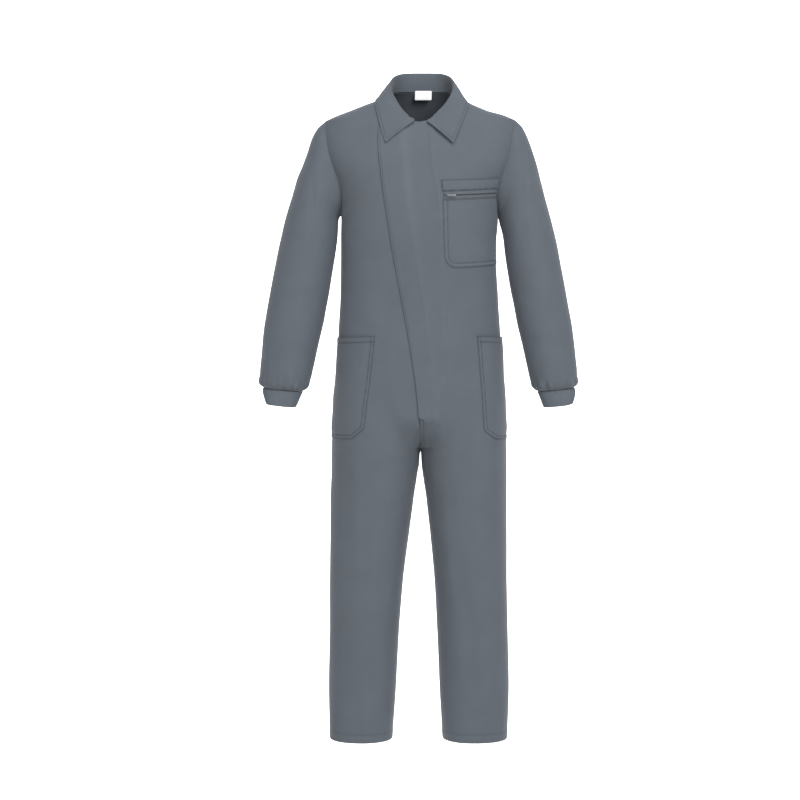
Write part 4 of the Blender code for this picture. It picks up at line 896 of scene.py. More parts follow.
def cloth_at(side, face, u, z):
    """Point on the cloth of a front or back (as a left half), with its
    normal: lift, folds and all but the seams."""
    p, n = body_point(u, z, face), body_normal(u, z, face)
    x = p[..., 0]
    off = folds(face, x * side, z)
    if face < 0 and side > 0:
        off = off + fine_lift(x, z)
    if face < 0 and side < 0:
        # under the left front the right one lies as deep as the fold above
        off = np.where(x < OVERLAP.at("out", z), off - 0.2, off)
    return p + held(n, x, z) * off[..., None], n


def held(n, x, z):
    """The way a front or back may move: near the centre seam at the crotch
    it keeps its side, so the two halves stay together."""
    keep = 1 - (1 - ease(np.abs(x) / 9.0)) * ease((z - CROTCH_Z + 60) / 60)
    return np.stack([n[..., 0] * keep, n[..., 1], n[..., 2]], -1)


MAIN_U = np.unique(np.concatenate([
    [0, 0.006], np.linspace(0.012, 0.04, 12),
    np.linspace(0.04, 0.375, 15), np.linspace(0.375, 1 - 0.024, 34),
    [1 - 0.015, 1 - 0.008, 1 - 0.0035, 1],
]))
EDGE_MM = np.array([0, 0.5, 1.1, 2.0, 3.2, 4.2, 5.2, 6.4, 8, 11])
FINE_ROWS = np.unique(np.concatenate([
    np.linspace(HEM_Z, HEM_Z + 24, 9), np.linspace(HEM_Z + 24, -880, 56), np.linspace(-880, CROTCH_Z, 17),
    np.linspace(CROTCH_Z, FLY_Z, 25), np.linspace(-746, -738, 9), np.linspace(-834, -815, 12), np.linspace(FLY_Z, ARM_Z, 60), np.linspace(ARM_Z, -62, 44),
    np.linspace(-62, -58, 4), np.linspace(-58, TIP_Z, 4), np.linspace(TIP_Z, 4.8, 30),
]))


def seam_depth(away, depth, width):
    return -depth * np.exp(-((away / width) ** 2))


def armhole_sink(z):
    """The seam's depth: slight over the shoulder, deeper to the underarm."""
    return 0.06 + 0.6 * ease((-z - 140) / 110)


def fine_panel(name, side, face):
    front = face < 0
    rows = np.concatenate([FINE_ROWS, [] if front else [5.4, NECK_Z]])
    columns = len(MAIN_U)
    u = np.repeat(MAIN_U[None, :], len(rows), 0)
    first = 0
    if front:
        edge = (OVERLAP if side > 0 else UNDERLAP).at("out", rows)
        inner = np.linspace(0, 1, 11)[1:]
        reach = []
        for z, e in zip(rows, edge):
            near = e - EDGE_MM * min(1.0, e / 30.0)
            last = near[-1]
            reach.append(np.concatenate([near, last * (1 - inner[:-1])]))
        reach = np.array(reach)
        turn = -np.maximum(turn_of(reach, rows[:, None], face), 1e-5)
        u = np.concatenate([turn, u], 1)
        first = reach.shape[1]
    z = np.repeat(rows[:, None], u.shape[1], 1)
    p, n = cloth_at(side, face, u, z)
    lengths = row_lengths(p)
    from_centre = lengths - lengths[:, first:first + 1]
    to_side = lengths[:, -1:] - lengths
    off = np.zeros(z.shape)
    # painted light and shade on the cloth, per point
    painted_shading = np.zeros(z.shape)
    main = u >= 0
    off += np.where(main, seam_depth(to_side, armhole_sink(z), 2.2), 0)
    seam_from = FLY_Z if front else 1e9
    on_seam = main & (z <= seam_from)
    # the seam's two allowances lie under it, so it has a low welt each side
    low_back = 1.0 if front else ease((-z - 50) / 25)
    off += np.where(on_seam, low_back * (seam_depth(from_centre, 0.8, 2.0) + 0.35 * np.exp(-(((from_centre - 6) / 3.5) ** 2))), 0)
    # painted shade along the centre seam
    painted_shading += np.where(on_seam, low_back * seam_depth(from_centre, 0.14, 1.8), 0)
    # the hem's turned-up cloth, and its row of stitches
    off += 0.5 * (1 - ease((z - HEM_Z - 20) / 4)) + seam_depth(z - HEM_Z - 20, 0.7, 1.8)
    pulled = np.sin(from_centre / 5.3 + 1.6 * np.sin(from_centre / 23.0)) * np.exp(-(((z - HEM_Z - 17) / 9) ** 2))
    off += 0.22 * pulled
    # painted shade along the hem's row of stitches
    painted_shading += seam_depth(z - HEM_Z - 20, 0.12, 1.4)
    rim = 0.4 * (1 - ease((z - HEM_Z) / 2.0))
    off -= rim
    if front:
        from_edge = lengths
        edge_round = 0.7 * (1 - ease(from_edge / 1.6))
        off -= np.where(z > FLY_Z, edge_round, 0)
        if side > 0:
            off += np.where((z > FLY_Z) & (z < -58), seam_depth(from_edge - 4.2, 0.5, 1.4), 0)
            # painted highlight on the left front's ridges, painted shade beside them
            painted_shading += fine_painted_shading(p[..., 0], z)
        # the seat seam's second row of stitches, under the fly
        second = np.where(on_seam, ease((z - CROTCH_Z - 2) / 14) * ease((-z - 739) / 4), 0)
        # painted shadow round the fly's bar tack
        painted_shading += (side > 0) * seam_depth(z + 741.4, 0.55, 1.7) * ease((from_centre + 1) / 1.5) * ease((9.4 - from_centre) / 1.5) * main
        off += second * seam_depth(from_centre - 8.0, 0.7, 1.5) * (side > 0)
        # painted shade along the seat seam's rows of stitches
        painted_shading += second * (seam_depth(from_centre - 8.0, 0.26, 1.5) * (side > 0) + seam_depth(from_centre, 0.12, 1.4))
    p = p + held(n, p[..., 0], z) * off[..., None]
    shift = np.zeros_like(p)
    shift[:, -1, 1] += face * EASE_SEAM
    low = rows <= (FLY_Z if front else 1e9)
    # the seams meet at the crotch, where one would be seen through the other
    close = ease((rows + 833) / 9)
    middle_x = p[:, first, 0]
    shift[:, first, 0] += np.where(low, EASE_SEAM * (1 - close) + close * np.minimum(0, 0.03 - middle_x) * (middle_x < 3), 0)
    p = p + shift
    inner = p - n * SHELL
    uv = np.stack([from_centre, z], -1)
    if side < 0:
        p, inner = p * [-1, 1, 1], inner * [-1, 1, 1]
        uv = uv * [-1, 1]

    def keep(j, i):
        return (i >= first) | ((rows[j] >= FLY_Z - 1e-6) & (rows[j + 1] <= -58 + 1e-6))

    cells, _ = grid_cells(len(rows), u.shape[1], keep=keep)
    if side * face > 0:
        cells = cells[:, ::-1]
    return shell(name + "_cloth", p, inner, cells, uv, TWILL, node=name, painted_shading=painted_shading)


for face, where in ((-1, "front"), (1, "back")):
    fine_panel(f"{where}_left", 1, face)
    fine_panel(f"{where}_right", -1, face)

# ------------------------------------------------------------------ sleeves

RINGS = np.unique(np.concatenate([
    [0, 0.03, 0.07, 0.13, 0.22], np.linspace(0.22, 3, 18), np.linspace(3, 12, 62), np.linspace(12, 14, 26),
]))
PHI = math.pi + np.concatenate([np.linspace(0, 2 * math.pi, 133)])
CUFF_TOP_PLEATS = ((9, 0.4, 0.55), (14, 1.9, 0.7), (19, 4.1, 0.6), (27, 2.2, 0.45))


def gathers(phi, amount):
    """Uneven pleats round the sleeve's end."""
    wave = sum(w * np.sin(k * phi + a + 0.5 * np.sin(2 * phi)) for k, a, w in CUFF_TOP_PLEATS)
    return amount * wave


def fine_sleeve(side, where):
    ring, phi = np.meshgrid(RINGS, PHI, indexing="ij")
    p, n = sleeve_point(ring, phi), tube_normal(sleeve_point, ring, phi, 14)
    middle = p.mean(1)
    along = np.concatenate([[0], np.cumsum(np.linalg.norm(np.diff(middle, axis=0), axis=1))])[:, None]
    lengths = row_lengths(p)
    round_mm = lengths - lengths[:, -1:] / 2       # 0 at the shoulder, + through the front
    off = np.zeros(ring.shape)
    for crease in SLEEVE_CREASES[where]:
        off += crease.at(round_mm, along + 0 * round_mm)
    total = along[-1]
    k = 1 if side > 0 else -1
    off += 0.5 * np.sin(round_mm / 21.0 + along / 70.0 * k) * np.sin(along / 64.0 + 0.6 * k) * ease(along / 60) * ease((total - along) / 60)
    end = total - along
    off += gathers(phi * k, 1.0) * ease(1 - np.abs(end - 13) / 24) * 1.25
    off += 1.6 * np.exp(-(((end - 13) / 9) ** 2))
    off += seam_depth(end, 1.6, 3.0)
    seam_z = ARM_MID + ARM_HALF * np.cos(phi)
    low = ease((-seam_z - 130) / 110)
    off += seam_depth(along, armhole_sink(seam_z), 2.2) + 0.45 * np.exp(-(((along - 9) / 6.5) ** 2)) * (1 - low)
    off -= 1.5 * low * np.exp(-(((along - 2) / 7.0) ** 2)) * ease(along / 4)
    off += seam_depth(np.minimum(lengths, lengths[:, -1:] - lengths), 0.7, 2.0) * ease(end / 12)
    p = p + n * off[..., None]
    p[0] = p[0] + ARM_AXIS * EASE_SEAM
    inner = p - n * SHELL
    uv = np.stack([round_mm, -along + 0 * round_mm], -1)
    if side < 0:
        p, inner = p * [-1, 1, 1], inner * [-1, 1, 1]
        uv = uv * [-1, 1]
    p, inner = p[:, :-1], inner[:, :-1]
    cells, uv_cells = grid_cells(len(RINGS), len(PHI) - 1, closed=True)
    if side < 0:
        cells, uv_cells = cells[:, ::-1], uv_cells[:, ::-1]
    return shell(f"sleeve_{where}_cloth", p, inner, cells, uv, TWILL, node=f"sleeve_{where}", uv_cells=uv_cells)


RIBS = 74


def fine_cuff(side, where):
    rings = np.concatenate([[0, 0.03, 0.08], np.linspace(0.16, 2.84, 22), [2.92, 2.97, 3]])
    phi = math.pi + np.linspace(0, 2 * math.pi, RIBS * 6 + 1)
    ring, angle = np.meshgrid(rings, phi, indexing="ij")
    p, n = cuff_point(ring, angle), tube_normal(cuff_point, ring, angle, 3)
    wave = np.sin(RIBS * angle)
    rib = 0.5 * np.sign(wave) * np.abs(wave) ** 0.7
    fade = ease(ring / 0.12) * (0.55 + 0.45 * ease((3 - ring) / 0.2))
    off = rib * fade - 0.5 * (1 - ease((3 - ring) / 0.1)) - 0.5 * (1 - ease(ring / 0.1))
    k = 1 if side > 0 else -1
    off = off + 0.6 * np.sin(3 * angle * k + 1.1) * np.sin(ring * 1.4 + 0.3) + 0.4 * np.sin(5 * angle + 2 * k)
    off = off + 0.9 * np.sin(math.pi * np.clip(ring / 3, 0, 1))
    p = p + n * off[..., None]
    inner = p - n * (SHELL + 0.3)
    lengths = row_lengths(cuff_point(ring, angle))
    uv = np.stack([lengths, -ring * 13.0], -1)
    if side < 0:
        p, inner = p * [-1, 1, 1], inner * [-1, 1, 1]
    p, inner = p[:, :-1], inner[:, :-1]
    cells, uv_cells = grid_cells(len(rings), len(phi) - 1, closed=True)
    if side < 0:
        cells, uv_cells = cells[:, ::-1], uv_cells[:, ::-1]
    return shell(f"cuff_{where}_knit", p, inner, cells, uv, KNIT, node=f"cuff_{where}", uv_cells=uv_cells)


for side, where in ((1, "left"), (-1, "right")):
    fine_sleeve(side, where)
    fine_cuff(side, where)

# ------------------------------------------------------------------- collar

COLLAR_WALL = 1.8
COLLAR_ENDS = 0.985
LEAF_BULGE = 4.0
COLLAR_CLEAR = 1.3
COLLAR_DRAWN = 6.0               # the left leaf lies nearer the neck over the shoulder


def collar_section(along, side):
    """Points of the collar's visible face at one station, seam to edge."""
    n = neck_point(np.array(along * COLLAR_ENDS))
    f, f0, f1 = (
        np.array([float(COLLAR.at(k, a)) for k in ("fold_x", "fold_y", "fold_z")])
        for a in (along, max(along - 0.03, 0), min(along + 0.03, 1))
    )
    e = np.array([float(COLLAR.at(k, along)) for k in ("edge_x", "edge_y", "edge_z")])
    if side > 0:
        e[0] -= COLLAR_DRAWN * math.exp(-(((along - 0.5) / 0.13) ** 2))
    run = (f1 - f0) / np.linalg.norm(f1 - f0)
    out = np.cross([0, 0, 1.0], run)
    out = np.array([0, 1.0, 0]) if along == 0 else out / np.linalg.norm(out)
    up = np.cross(out, run)
    up *= np.sign(up[2])
    end = float(ease((along - 0.7) / 0.3))
    lift = float(lift_at(n[0], n[2])) if side > 0 and along > 0.5 else 0.0
    foot = n + out * (lift - WALL * (1 - end)) + up * (1.5 + 1.6 * end)
    over = float(ease((along - 0.62) / 0.14))
    if over > 0:
        foot = foot + (rest_on(foot[None], side, COLLAR_WALL + 0.7)[0] - foot) * over
        f = f + (rest_on(f[None], side, 2 * COLLAR_WALL + 1.4)[0] - f) * over
    roll = 3.4 - 1.6 * end
    top_in = f - out * roll * 0.5 - up * roll * 0.8
    top_out = f + out * roll * 1.2 - up * roll * 0.9
    mid = foot + (top_in - foot) * 0.5 - out * 1.2 * (1 - end)
    if over > 0:
        mid = mid + (rest_on(mid[None], side, COLLAR_WALL + 0.7)[0] - mid) * over
    span = e - top_out
    away = np.cross(run, span)
    away /= np.linalg.norm(away)
    away *= np.sign(away @ (out + up))
    a = top_out + span * 0.33 + away * LEAF_BULGE * (1 - 0.6 * end)
    b = top_out + span * 0.68 + away * LEAF_BULGE * 0.8 * (1 - 0.6 * end)
    leaf = rest_on(np.array([top_out, a, b, e]), side, COLLAR_WALL + COLLAR_CLEAR)
    return np.array([foot, mid, top_in, f, *leaf])


def smooth_line(points, count):
    """A smooth curve through points, sampled evenly by its own length."""
    points = np.asarray(points, float)
    ends = np.concatenate([[2 * points[0] - points[1]], points, [2 * points[-1] - points[-2]]])
    knots = np.concatenate([[0], np.cumsum(np.linalg.norm(np.diff(ends, axis=0), axis=1) ** 0.5)])
    found = []
    for i in range(1, len(ends) - 2):
        p, t = ends[i - 1:i + 3], knots[i - 1:i + 3]
        s = np.linspace(t[1], t[2], 12, endpoint=i == len(ends) - 3)[:, None]
        a = [p[k] * (t[k + 1] - s) / (t[k + 1] - t[k]) + p[k + 1] * (s - t[k]) / (t[k + 1] - t[k]) for k in range(3)]
        b = [a[k] * (t[k + 2] - s) / (t[k + 2] - t[k]) + a[k + 1] * (s - t[k]) / (t[k + 2] - t[k]) for k in range(2)]
        found.append(b[0] * (t[2] - s) / (t[2] - t[1]) + b[1] * (s - t[1]) / (t[2] - t[1]))
    found = np.concatenate(found)
    length = np.concatenate([[0], np.cumsum(np.linalg.norm(np.diff(found, axis=0), axis=1))])
    at = count if np.ndim(count) else np.linspace(0, 1, count)
    return np.stack([np.interp(np.asarray(at) * length[-1], length, found[:, k]) for k in range(3)], -1)


ACROSS = np.unique(np.concatenate([np.linspace(0, 0.3, 10), np.linspace(0.3, 0.5, 16), np.linspace(0.5, 0.9, 20), np.linspace(0.9, 1, 11)]))
STATIONS = np.unique(np.concatenate([np.linspace(0, 0.9, 58), np.linspace(0.9, 0.985, 10), np.linspace(0.985, 1, 6)]))


def unit_normals(grid):
    n = np.cross(np.gradient(grid, axis=0), np.gradient(grid, axis=1))
    return n / np.maximum(np.linalg.norm(n, axis=-1, keepdims=True), 1e-12)


def fine_collar():
    halves = []
    for side in (-1, 1):
        controls = np.array([collar_section(float(a), side) for a in STATIONS])
        # even out the stations, keeping both ends
        for _ in range(6):
            controls[1:-1] = (controls[:-2] + 2 * controls[1:-1] + controls[2:]) / 4
        sections = np.array([smooth_line(c, ACROSS) for c in controls])
        halves.append(sections)
    grid = np.concatenate([(halves[0] * [-1, 1, 1])[:0:-1], halves[1]])
    n = unit_normals(grid)
    middle = len(grid) // 2
    if n[middle, -2][1] < 0:
        n = -n
    lengths_across = row_lengths(grid)
    lengths_along = row_lengths(grid.transpose(1, 0, 2)).T
    from_edge = lengths_across[:, -1:] - lengths_across
    from_end = np.minimum(lengths_along, lengths_along[-1:] - lengths_along)
    leaf = ease((ACROSS - 0.42) / 0.08)[None, :]
    border = np.minimum(from_edge, from_end + 1e3 * (1 - leaf))
    off = 0.25 * ease(border / 2.5) + seam_depth(border - 5.5, 0.5, 1.3) * leaf
    off = off + 0.16 * leaf * np.sin(lengths_along / 3.6 + 1.5 * np.sin(lengths_along / 17.0)) * np.exp(-(((border - 4) / 3.5) ** 2)) * ease(border / 1.5)
    # painted shade along the stitch groove, and a painted highlight near the leaf's edge
    painted_shading = seam_depth(border - 5.5, 0.13, 1.1) * leaf + 0.05 * leaf * np.exp(-(((border - 2.2) / 2.0) ** 2))
    off = off - 0.45 * (1 - ease(border / 1.0))
    x = grid[..., 0]
    off = off + leaf * (0.5 * np.sin(lengths_along / 38.0) * np.sin(lengths_across / 24.0))
    outer = grid + n * off[..., None]
    inner = grid - n * (1.5 - 0.4 * (1 - ease(border / 1.0)))[..., None]
    uv = np.stack([lengths_along, lengths_across], -1)
    cells, _ = grid_cells(*grid.shape[:2])
    cells = cells[:, ::-1]
    made = shell("collar_cloth", outer, inner, cells, uv, TWILL_CROSS, node="collar", painted_shading=painted_shading)
    return made, outer, n, border, leaf, lengths_along


COLLAR_PIECE, COLLAR_OUT, COLLAR_N, COLLAR_BORDER, COLLAR_LEAF, COLLAR_ALONG = fine_collar()

# ------------------------------------------------------------------ pockets

BAND_TOP, BAND_LOW = -190.5, -217.5
PATCH_TOP, PATCH_LOW, PATCH_CORNER = -236.0, -392.5, 27.0
POCKET_TILT = 6.5
CHEST_LEFT = Table("z out", [(-392, 58), (-330, 56.5), (-278, 54.5), (-236, 53), (-190, 49)])
HIP = {
    "left": dict(side=1, low=-790.5, high=-549.0, cut=(27.0, 22.0), tilt=(-3.5, -7.0), flare=2.2,
                 edge=Table("z out", [(-790, 148), (-759, 146), (-694, 142), (-620, 135), (-549, 130.5)])),
    "right": dict(side=-1, low=-788.0, high=-549.0, cut=(28.0, 25.0), tilt=(-3.5, -8.0), flare=0.8,
                  edge=Table("z out", [(-790, 127), (-762, 125.5), (-738, 122.5), (-670, 114.5), (-606, 107.5), (-549, 101.5)])),
}
ON_CLOTH, POCKET_SHELL = 0.35, 1.5


def chest_left(z):
    return float(CHEST_LEFT.at("out", z))


def patch_left(z):
    r = PATCH_CORNER
    h = max(r - (z - PATCH_LOW), 0.0)
    return chest_left(z) + r - math.sqrt(max(r * r - h * h, 0.0))


def u_of(x, z, face):
    """The panel's u where it is x from the centre, row by row."""
    samples = np.linspace(0, 1, 401)
    return np.array([np.interp(a, body_point(samples, b, face)[:, 0], samples) for a, b in zip(x, z)])


def on_front(name, side, low, high, left, end, tilt, rows, columns, look, node, profile, flare=0.0, end_gap=0.0, inner=9.0, top_rows=(), strength=1.0):
    """A patch on a front.  profile(border, from_left, from_low, from_top)
    gives how far its face is off the cloth, all in mm."""
    eta = rows
    z0 = low + (high - low) * eta
    start = u_of([left(a) for a in z0], z0, -1)
    xi = columns[None, :]
    u = start[:, None] + (end - start[:, None]) * xi
    z = z0[:, None] + tilt * xi
    p, n = cloth_at(side, -1, u, z)
    across = row_lengths(p)
    up = row_lengths(p.transpose(1, 0, 2)).T
    # distance to the outline of the left and lower edges
    outline = np.concatenate([p[::-1, 0], p[0, 1:]])
    flat = p.reshape(-1, 3)
    border = np.full(len(flat), 1e9)
    for a, b in zip(outline[:-1], outline[1:]):
        d = b - a
        if d @ d < 1e-9:
            continue
        t = np.clip((flat - a) @ d / (d @ d), 0, 1)[:, None]
        border = np.minimum(border, np.linalg.norm(flat - a - t * d, axis=1))
    border = border.reshape(z.shape)
    from_top = up[-1:] - up
    high_off = profile(border, across, up, from_top, u, z)
    gap = ON_CLOTH + flare * ease((eta[:, None] - 0.6) / 0.4) * xi ** 0.5
    gap = gap + end_gap * ease((u - 0.8) / 0.13) * ease((z + 385) / 70)
    # painted shade along stitches and edges, painted highlight on welts and ridges
    painted_shading = patch_painted_shading(border, from_top, inner, top_rows, across - up, strength)
    painted_shading = painted_shading + (fine_painted_shading(p[..., 0], z) if side > 0 else 0) * ease(border / 3.0)
    outer = p + n * (gap + high_off)[..., None]
    under = p + n * (gap - 0.15)[..., None]
    uv = np.stack([u * 0 + p[..., 0], z], -1)
    if side < 0:
        outer, under, uv = outer * [-1, 1, 1], under * [-1, 1, 1], uv * [-1, 1]
    cells, _ = grid_cells(*z.shape)
    if side < 0:
        cells = cells[:, ::-1]
    made = shell(name, outer, under, cells, uv, look, node=node, painted_shading=painted_shading)
    return made, outer, n * ([-1, 1, 1] if side < 0 else 1), border, across, up, from_top


def near_then_even(first, count, total):
    """Shares from 0 to 1 of a length: first are mm from its start."""
    first = np.array(first, float) / total
    return np.concatenate([first, np.linspace(first[-1], 1, count)[1:]])


def patch_painted_shading(border, from_top, inner, top_rows, way, strength):
    """Painted shade along the rows of stitches and the sewn edge, uneven where
    the stitches draw the cloth up, and a painted highlight on the welt between the rows."""
    uneven = 1 + 0.45 * np.sin(way / 3.4 + 1.9 * np.sin(way / 14.0))
    deep = seam_depth(border, 0.22, 1.2) + uneven * (seam_depth(border - 2.2, 0.12, 1.2) + seam_depth(border - inner, 0.19, 1.6))
    deep = deep + 0.055 * np.exp(-(((border - inner * 0.55) / 2.2) ** 2))
    for row in top_rows:
        deep = deep + seam_depth(from_top - row, 0.17, 1.4)
    return strength * (deep + seam_depth(from_top, 0.12, 1.0))


def patch_profile(border, across, up, from_top, u, z, inner=9.0, top=1.8, second_top=None):
    high = POCKET_SHELL * (1 - 0.55 * (1 - ease(border / 1.4)))
    high = high - 0.4 * (1 - ease(from_top / 1.2))
    high = high + seam_depth(border - 2.2, 0.45, 1.1) + seam_depth(border - inner, 0.7, 1.6)
    high = high + 0.4 * np.exp(-(((border - inner * 0.55) / 2.4) ** 2))
    high = high + seam_depth(from_top - (second_top or top), 0.65, 1.4)
    # the stitching draws the cloth up in small uneven puckers
    way = across - up
    pucker = np.sin(way / 3.4 + 1.9 * np.sin(way / 14.0)) * (0.6 + 0.4 * np.sin(way / 27.0 + 1))
    high = high + 0.26 * pucker * np.exp(-(((border - inner * 0.62) / (inner * 0.5)) ** 2)) * ease(border / 1.5)
    along_top = np.sin(across / 3.6 + 1.7 * np.sin(across / 15.0))
    high = high + 0.2 * along_top * np.exp(-(((from_top - (second_top or top) * 0.7) / 5.0) ** 2)) * ease(from_top / 1.5)
    if second_top:
        high = high + 0.5 * (1 - ease((from_top - second_top) / 2.0))
    middle = ease((border - inner) / 22) * ease((from_top - 6) / 20)
    high = high + middle * (0.8 + 0.5 * np.sin(across / 17.0 + up / 31.0) + 0.3 * np.sin(up / 13.0))
    return high


LOW_ROWS = (0, 0.5, 1.1, 1.8, 2.6, 3.6, 4.8, 6, 7.5, 9, 10.5, 12)
CHEST_ROWS = near_then_even(LOW_ROWS, 74, PATCH_TOP - PATCH_LOW)
CHEST_ROWS = np.unique(np.concatenate([CHEST_ROWS, [0.984, 0.992, 0.997]]))
CHEST_COLUMNS = near_then_even(LOW_ROWS, 58, 150.0)
ARM_END = 0.958
CHEST_MADE = on_front(
    "chest_patch_cloth", 1, PATCH_LOW, PATCH_TOP, patch_left, ARM_END, POCKET_TILT, CHEST_ROWS, CHEST_COLUMNS, TWILL,
    "chest_patch",
    lambda b, a, up, t, u, z: patch_profile(b, a, up, t, u, z, inner=10.5, top=2.0), end_gap=1.2,
    inner=10.5, top_rows=(2.0,),
)


def band_profile(border, across, up, from_top, u, z):
    high = POCKET_SHELL * (1 - 0.5 * (1 - ease(border / 1.3)) - 0.4 * (1 - ease(from_top / 1.3)))
    high = high + seam_depth(border - 2.2, 0.5, 1.1) + seam_depth(from_top - 2.2, 0.5, 1.1)
    high = high + 0.2 * np.sin(across / 3.5 + 1.8 * np.sin(across / 16.0)) * np.exp(-((np.minimum(border, from_top) / 5.0) ** 2)) * ease(np.minimum(border, from_top) / 1.5)
    return high + 0.5 * np.sin(math.pi * np.clip(up / 26.0, 0, 1)) ** 2


BAND_ROWS = np.unique(np.concatenate([np.array(LOW_ROWS[:7]) / 27.0, np.linspace(0.18, 0.82, 12), 1 - np.array(LOW_ROWS[:7]) / 27.0]))
BAND_MADE = on_front(
    "chest_band_cloth", 1, BAND_LOW, BAND_TOP, chest_left, ARM_END, POCKET_TILT, BAND_ROWS, CHEST_COLUMNS, TWILL,
    "chest_band", band_profile, end_gap=1.2, inner=2.2, top_rows=(2.2,), strength=1.25,
)
# Two lips of the pocket's cloth, folded back along a narrow slit, with the
# zip's tape at the bottom of it.
SLIT = 1.25


def lip_profile(from_border, half):
    away = np.maximum(half - from_border, 0)
    lip = 1.45 - 0.5 * (1 - ease(from_border / 1.6)) + 0.35 * np.exp(-(((away - 2.6) / 1.3) ** 2))
    return 0.25 + (lip - 0.25) * ease((away - SLIT) / 0.8)


ZIP_ROWS = 0.5 + 0.5 * np.unique(np.concatenate([
    s * np.array([0, 0.05, 0.1, 0.14, 0.165, 0.19, 0.215, 0.24, 0.28, 0.33, 0.4, 0.5, 0.62, 0.75, 0.85, 0.9, 0.94, 0.97, 1.0])
    for s in (-1, 1)
]))
ZIP_MADE = on_front(
    "chest_zip_tape", 1, PATCH_TOP + 0.3, BAND_LOW - 0.3, lambda z: 55.0, ARM_END, POCKET_TILT,
    ZIP_ROWS, np.linspace(0, 1, 90), TWILL, "chest_zip",
    lambda b, a, up, t, u, z: lip_profile(np.minimum(up, t), (up + t) / 2), end_gap=1.2, inner=0.0,
)


def paint_slit(made, rows, columns):
    """The faces inside the slit are tape."""
    mesh = made.data
    mesh.materials.append(TAPE)
    middle = (rows[:-1] + rows[1:]) / 2
    inside = np.abs(middle - 0.5) * (BAND_LOW - PATCH_TOP - 0.6) < SLIT + 0.1
    one = np.repeat(inside, columns - 1)
    index = np.zeros(len(mesh.polygons), np.int32)
    index[:len(one)] = one
    index[len(one):2 * len(one)] = one
    mesh.polygons.foreach_set("material_index", index)


paint_slit(ZIP_MADE[0], ZIP_ROWS, 90)
for where, hip in HIP.items():

    def hip_left(z, hip=hip):
        """The pocket's inner edge, with its lower corner cut off slanting."""
        wide, tall = hip["cut"]
        h = 1 - (z - hip["low"]) / tall
        soft = 0.12                  # the turned corner is a little round
        h = (h + soft) ** 2 / (4 * soft) if abs(h) < soft else max(h, 0.0)
        return float(hip["edge"].at("out", z)) + wide * h

    hip_rows = near_then_even(LOW_ROWS, 104, hip["high"] - hip["low"])
    hip_rows = np.unique(np.concatenate([hip_rows, 1 - np.array([0.5, 1.1, 1.8, 13, 14, 15]) / 240.0]))
    hip["made"] = on_front(
        f"hip_pocket_{where}_cloth", hip["side"], hip["low"], hip["high"], hip_left, 0.992, np.interp(hip_rows, [0, 1], hip["tilt"])[:, None],
        hip_rows, near_then_even(LOW_ROWS, 62, 110.0), TWILL, f"hip_pocket_{where}",
        lambda b, a, up, t, u, z: patch_profile(b, a, up, t, u, z, inner=8.0, second_top=14.0), flare=hip["flare"],
        inner=8.0, top_rows=(1.6, 14.0), strength=1.55,
    )

# ------------------------------------------------------------------- thread

class Thread:
    """Rows of stitches, gathered into one piece."""

    SIDES = 5

    def __init__(self, name):
        self.name, self.points, self.faces, self.count = name, [], [], 0

    def row(self, path, normals, length=2.4, gap=0.8, radius=0.4, sink=0.12, lean=0.0):
        path, normals = np.asarray(path, float), np.asarray(normals, float)
        run = np.concatenate([[0], np.cumsum(np.linalg.norm(np.diff(path, axis=0), axis=1))])
        total = run[-1]
        for start in np.arange(gap, total - length, length + gap):
            ends = np.array([start, start + length])
            a, b = (np.array([np.interp(e, run, path[:, k]) for k in range(3)]) for e in ends)
            n = np.array([np.interp(start + length / 2, run, normals[:, k]) for k in range(3)])
            n /= np.linalg.norm(n)
            if lean:
                across = np.cross(n, b - a)
                b = b + across * lean
            self.one(a + n * (radius - sink), b + n * (radius - sink), n, radius)

    def one(self, a, b, n, radius):
        d = b - a
        length = np.linalg.norm(d)
        d /= length
        side = np.cross(d, n)
        side /= np.linalg.norm(side)
        up = np.cross(side, d)
        m = self.SIDES
        angle = np.linspace(0, 2 * math.pi, m, endpoint=False)
        ring = (np.cos(angle)[:, None] * side + np.sin(angle)[:, None] * up) * radius
        base = self.count
        pts = [a - up * radius * 0.7]
        pts += list(a + d * length * 0.22 + ring)
        pts += list(a + d * length * 0.78 + ring)
        pts += [b - up * radius * 0.7]
        self.points += pts
        tris, quads = [], []
        for i in range(m):
            k = (i + 1) % m
            tris.append((base, base + 1 + k, base + 1 + i))
            quads.append((base + 1 + i, base + 1 + k, base + 1 + m + k, base + 1 + m + i))
            tris.append((base + 1 + m + i, base + 1 + m + k, base + 1 + 2 * m))
        self.faces.append((tris, quads))
        self.count += len(pts)

    def make(self):
        tris = np.array([t for f in self.faces for t in f[0]])
        quads = np.array([q for f in self.faces for q in f[1]])
        return mesh_piece(self.name, settle(np.array(self.points)), [tris, quads], THREAD)


def face_path(side, face, x, z, seams=0.0):
    """Points and normals on a front or back through (x, z), x from the
    centre; x below 0 is past the centre, on the overlap."""
    x, z = np.asarray(x, float), np.asarray(z, float)
    u = np.array([
        np.interp(a, body_point(np.linspace(0, 1, 401), b, face)[:, 0], np.linspace(0, 1, 401)) if a > 0
        else -max(float(turn_of(-a, b, face)), 1e-5)
        for a, b in zip(x, z)
    ])
    p, n = cloth_at(side, face, u, z)
    p = p + n * seams
    return (p * [side, 1, 1], n * [side, 1, 1])


def on_grid_path(made, test_rows, test_columns):
    """Points and normals of a made patch along row and column numbers, which
    may lie between two."""
    outer, n = made[1], made[2]
    r, c = np.asarray(test_rows, float), np.asarray(test_columns, float)
    j, i = np.clip(r.astype(int), 0, outer.shape[0] - 2), np.clip(c.astype(int), 0, outer.shape[1] - 2)
    f, g = (r - j)[:, None], (c - i)[:, None]

    def at(a):
        return (a[j, i] * (1 - f) + a[j + 1, i] * f) * (1 - g) + (a[j, i + 1] * (1 - f) + a[j + 1, i + 1] * f) * g

    return at(outer), at(n)


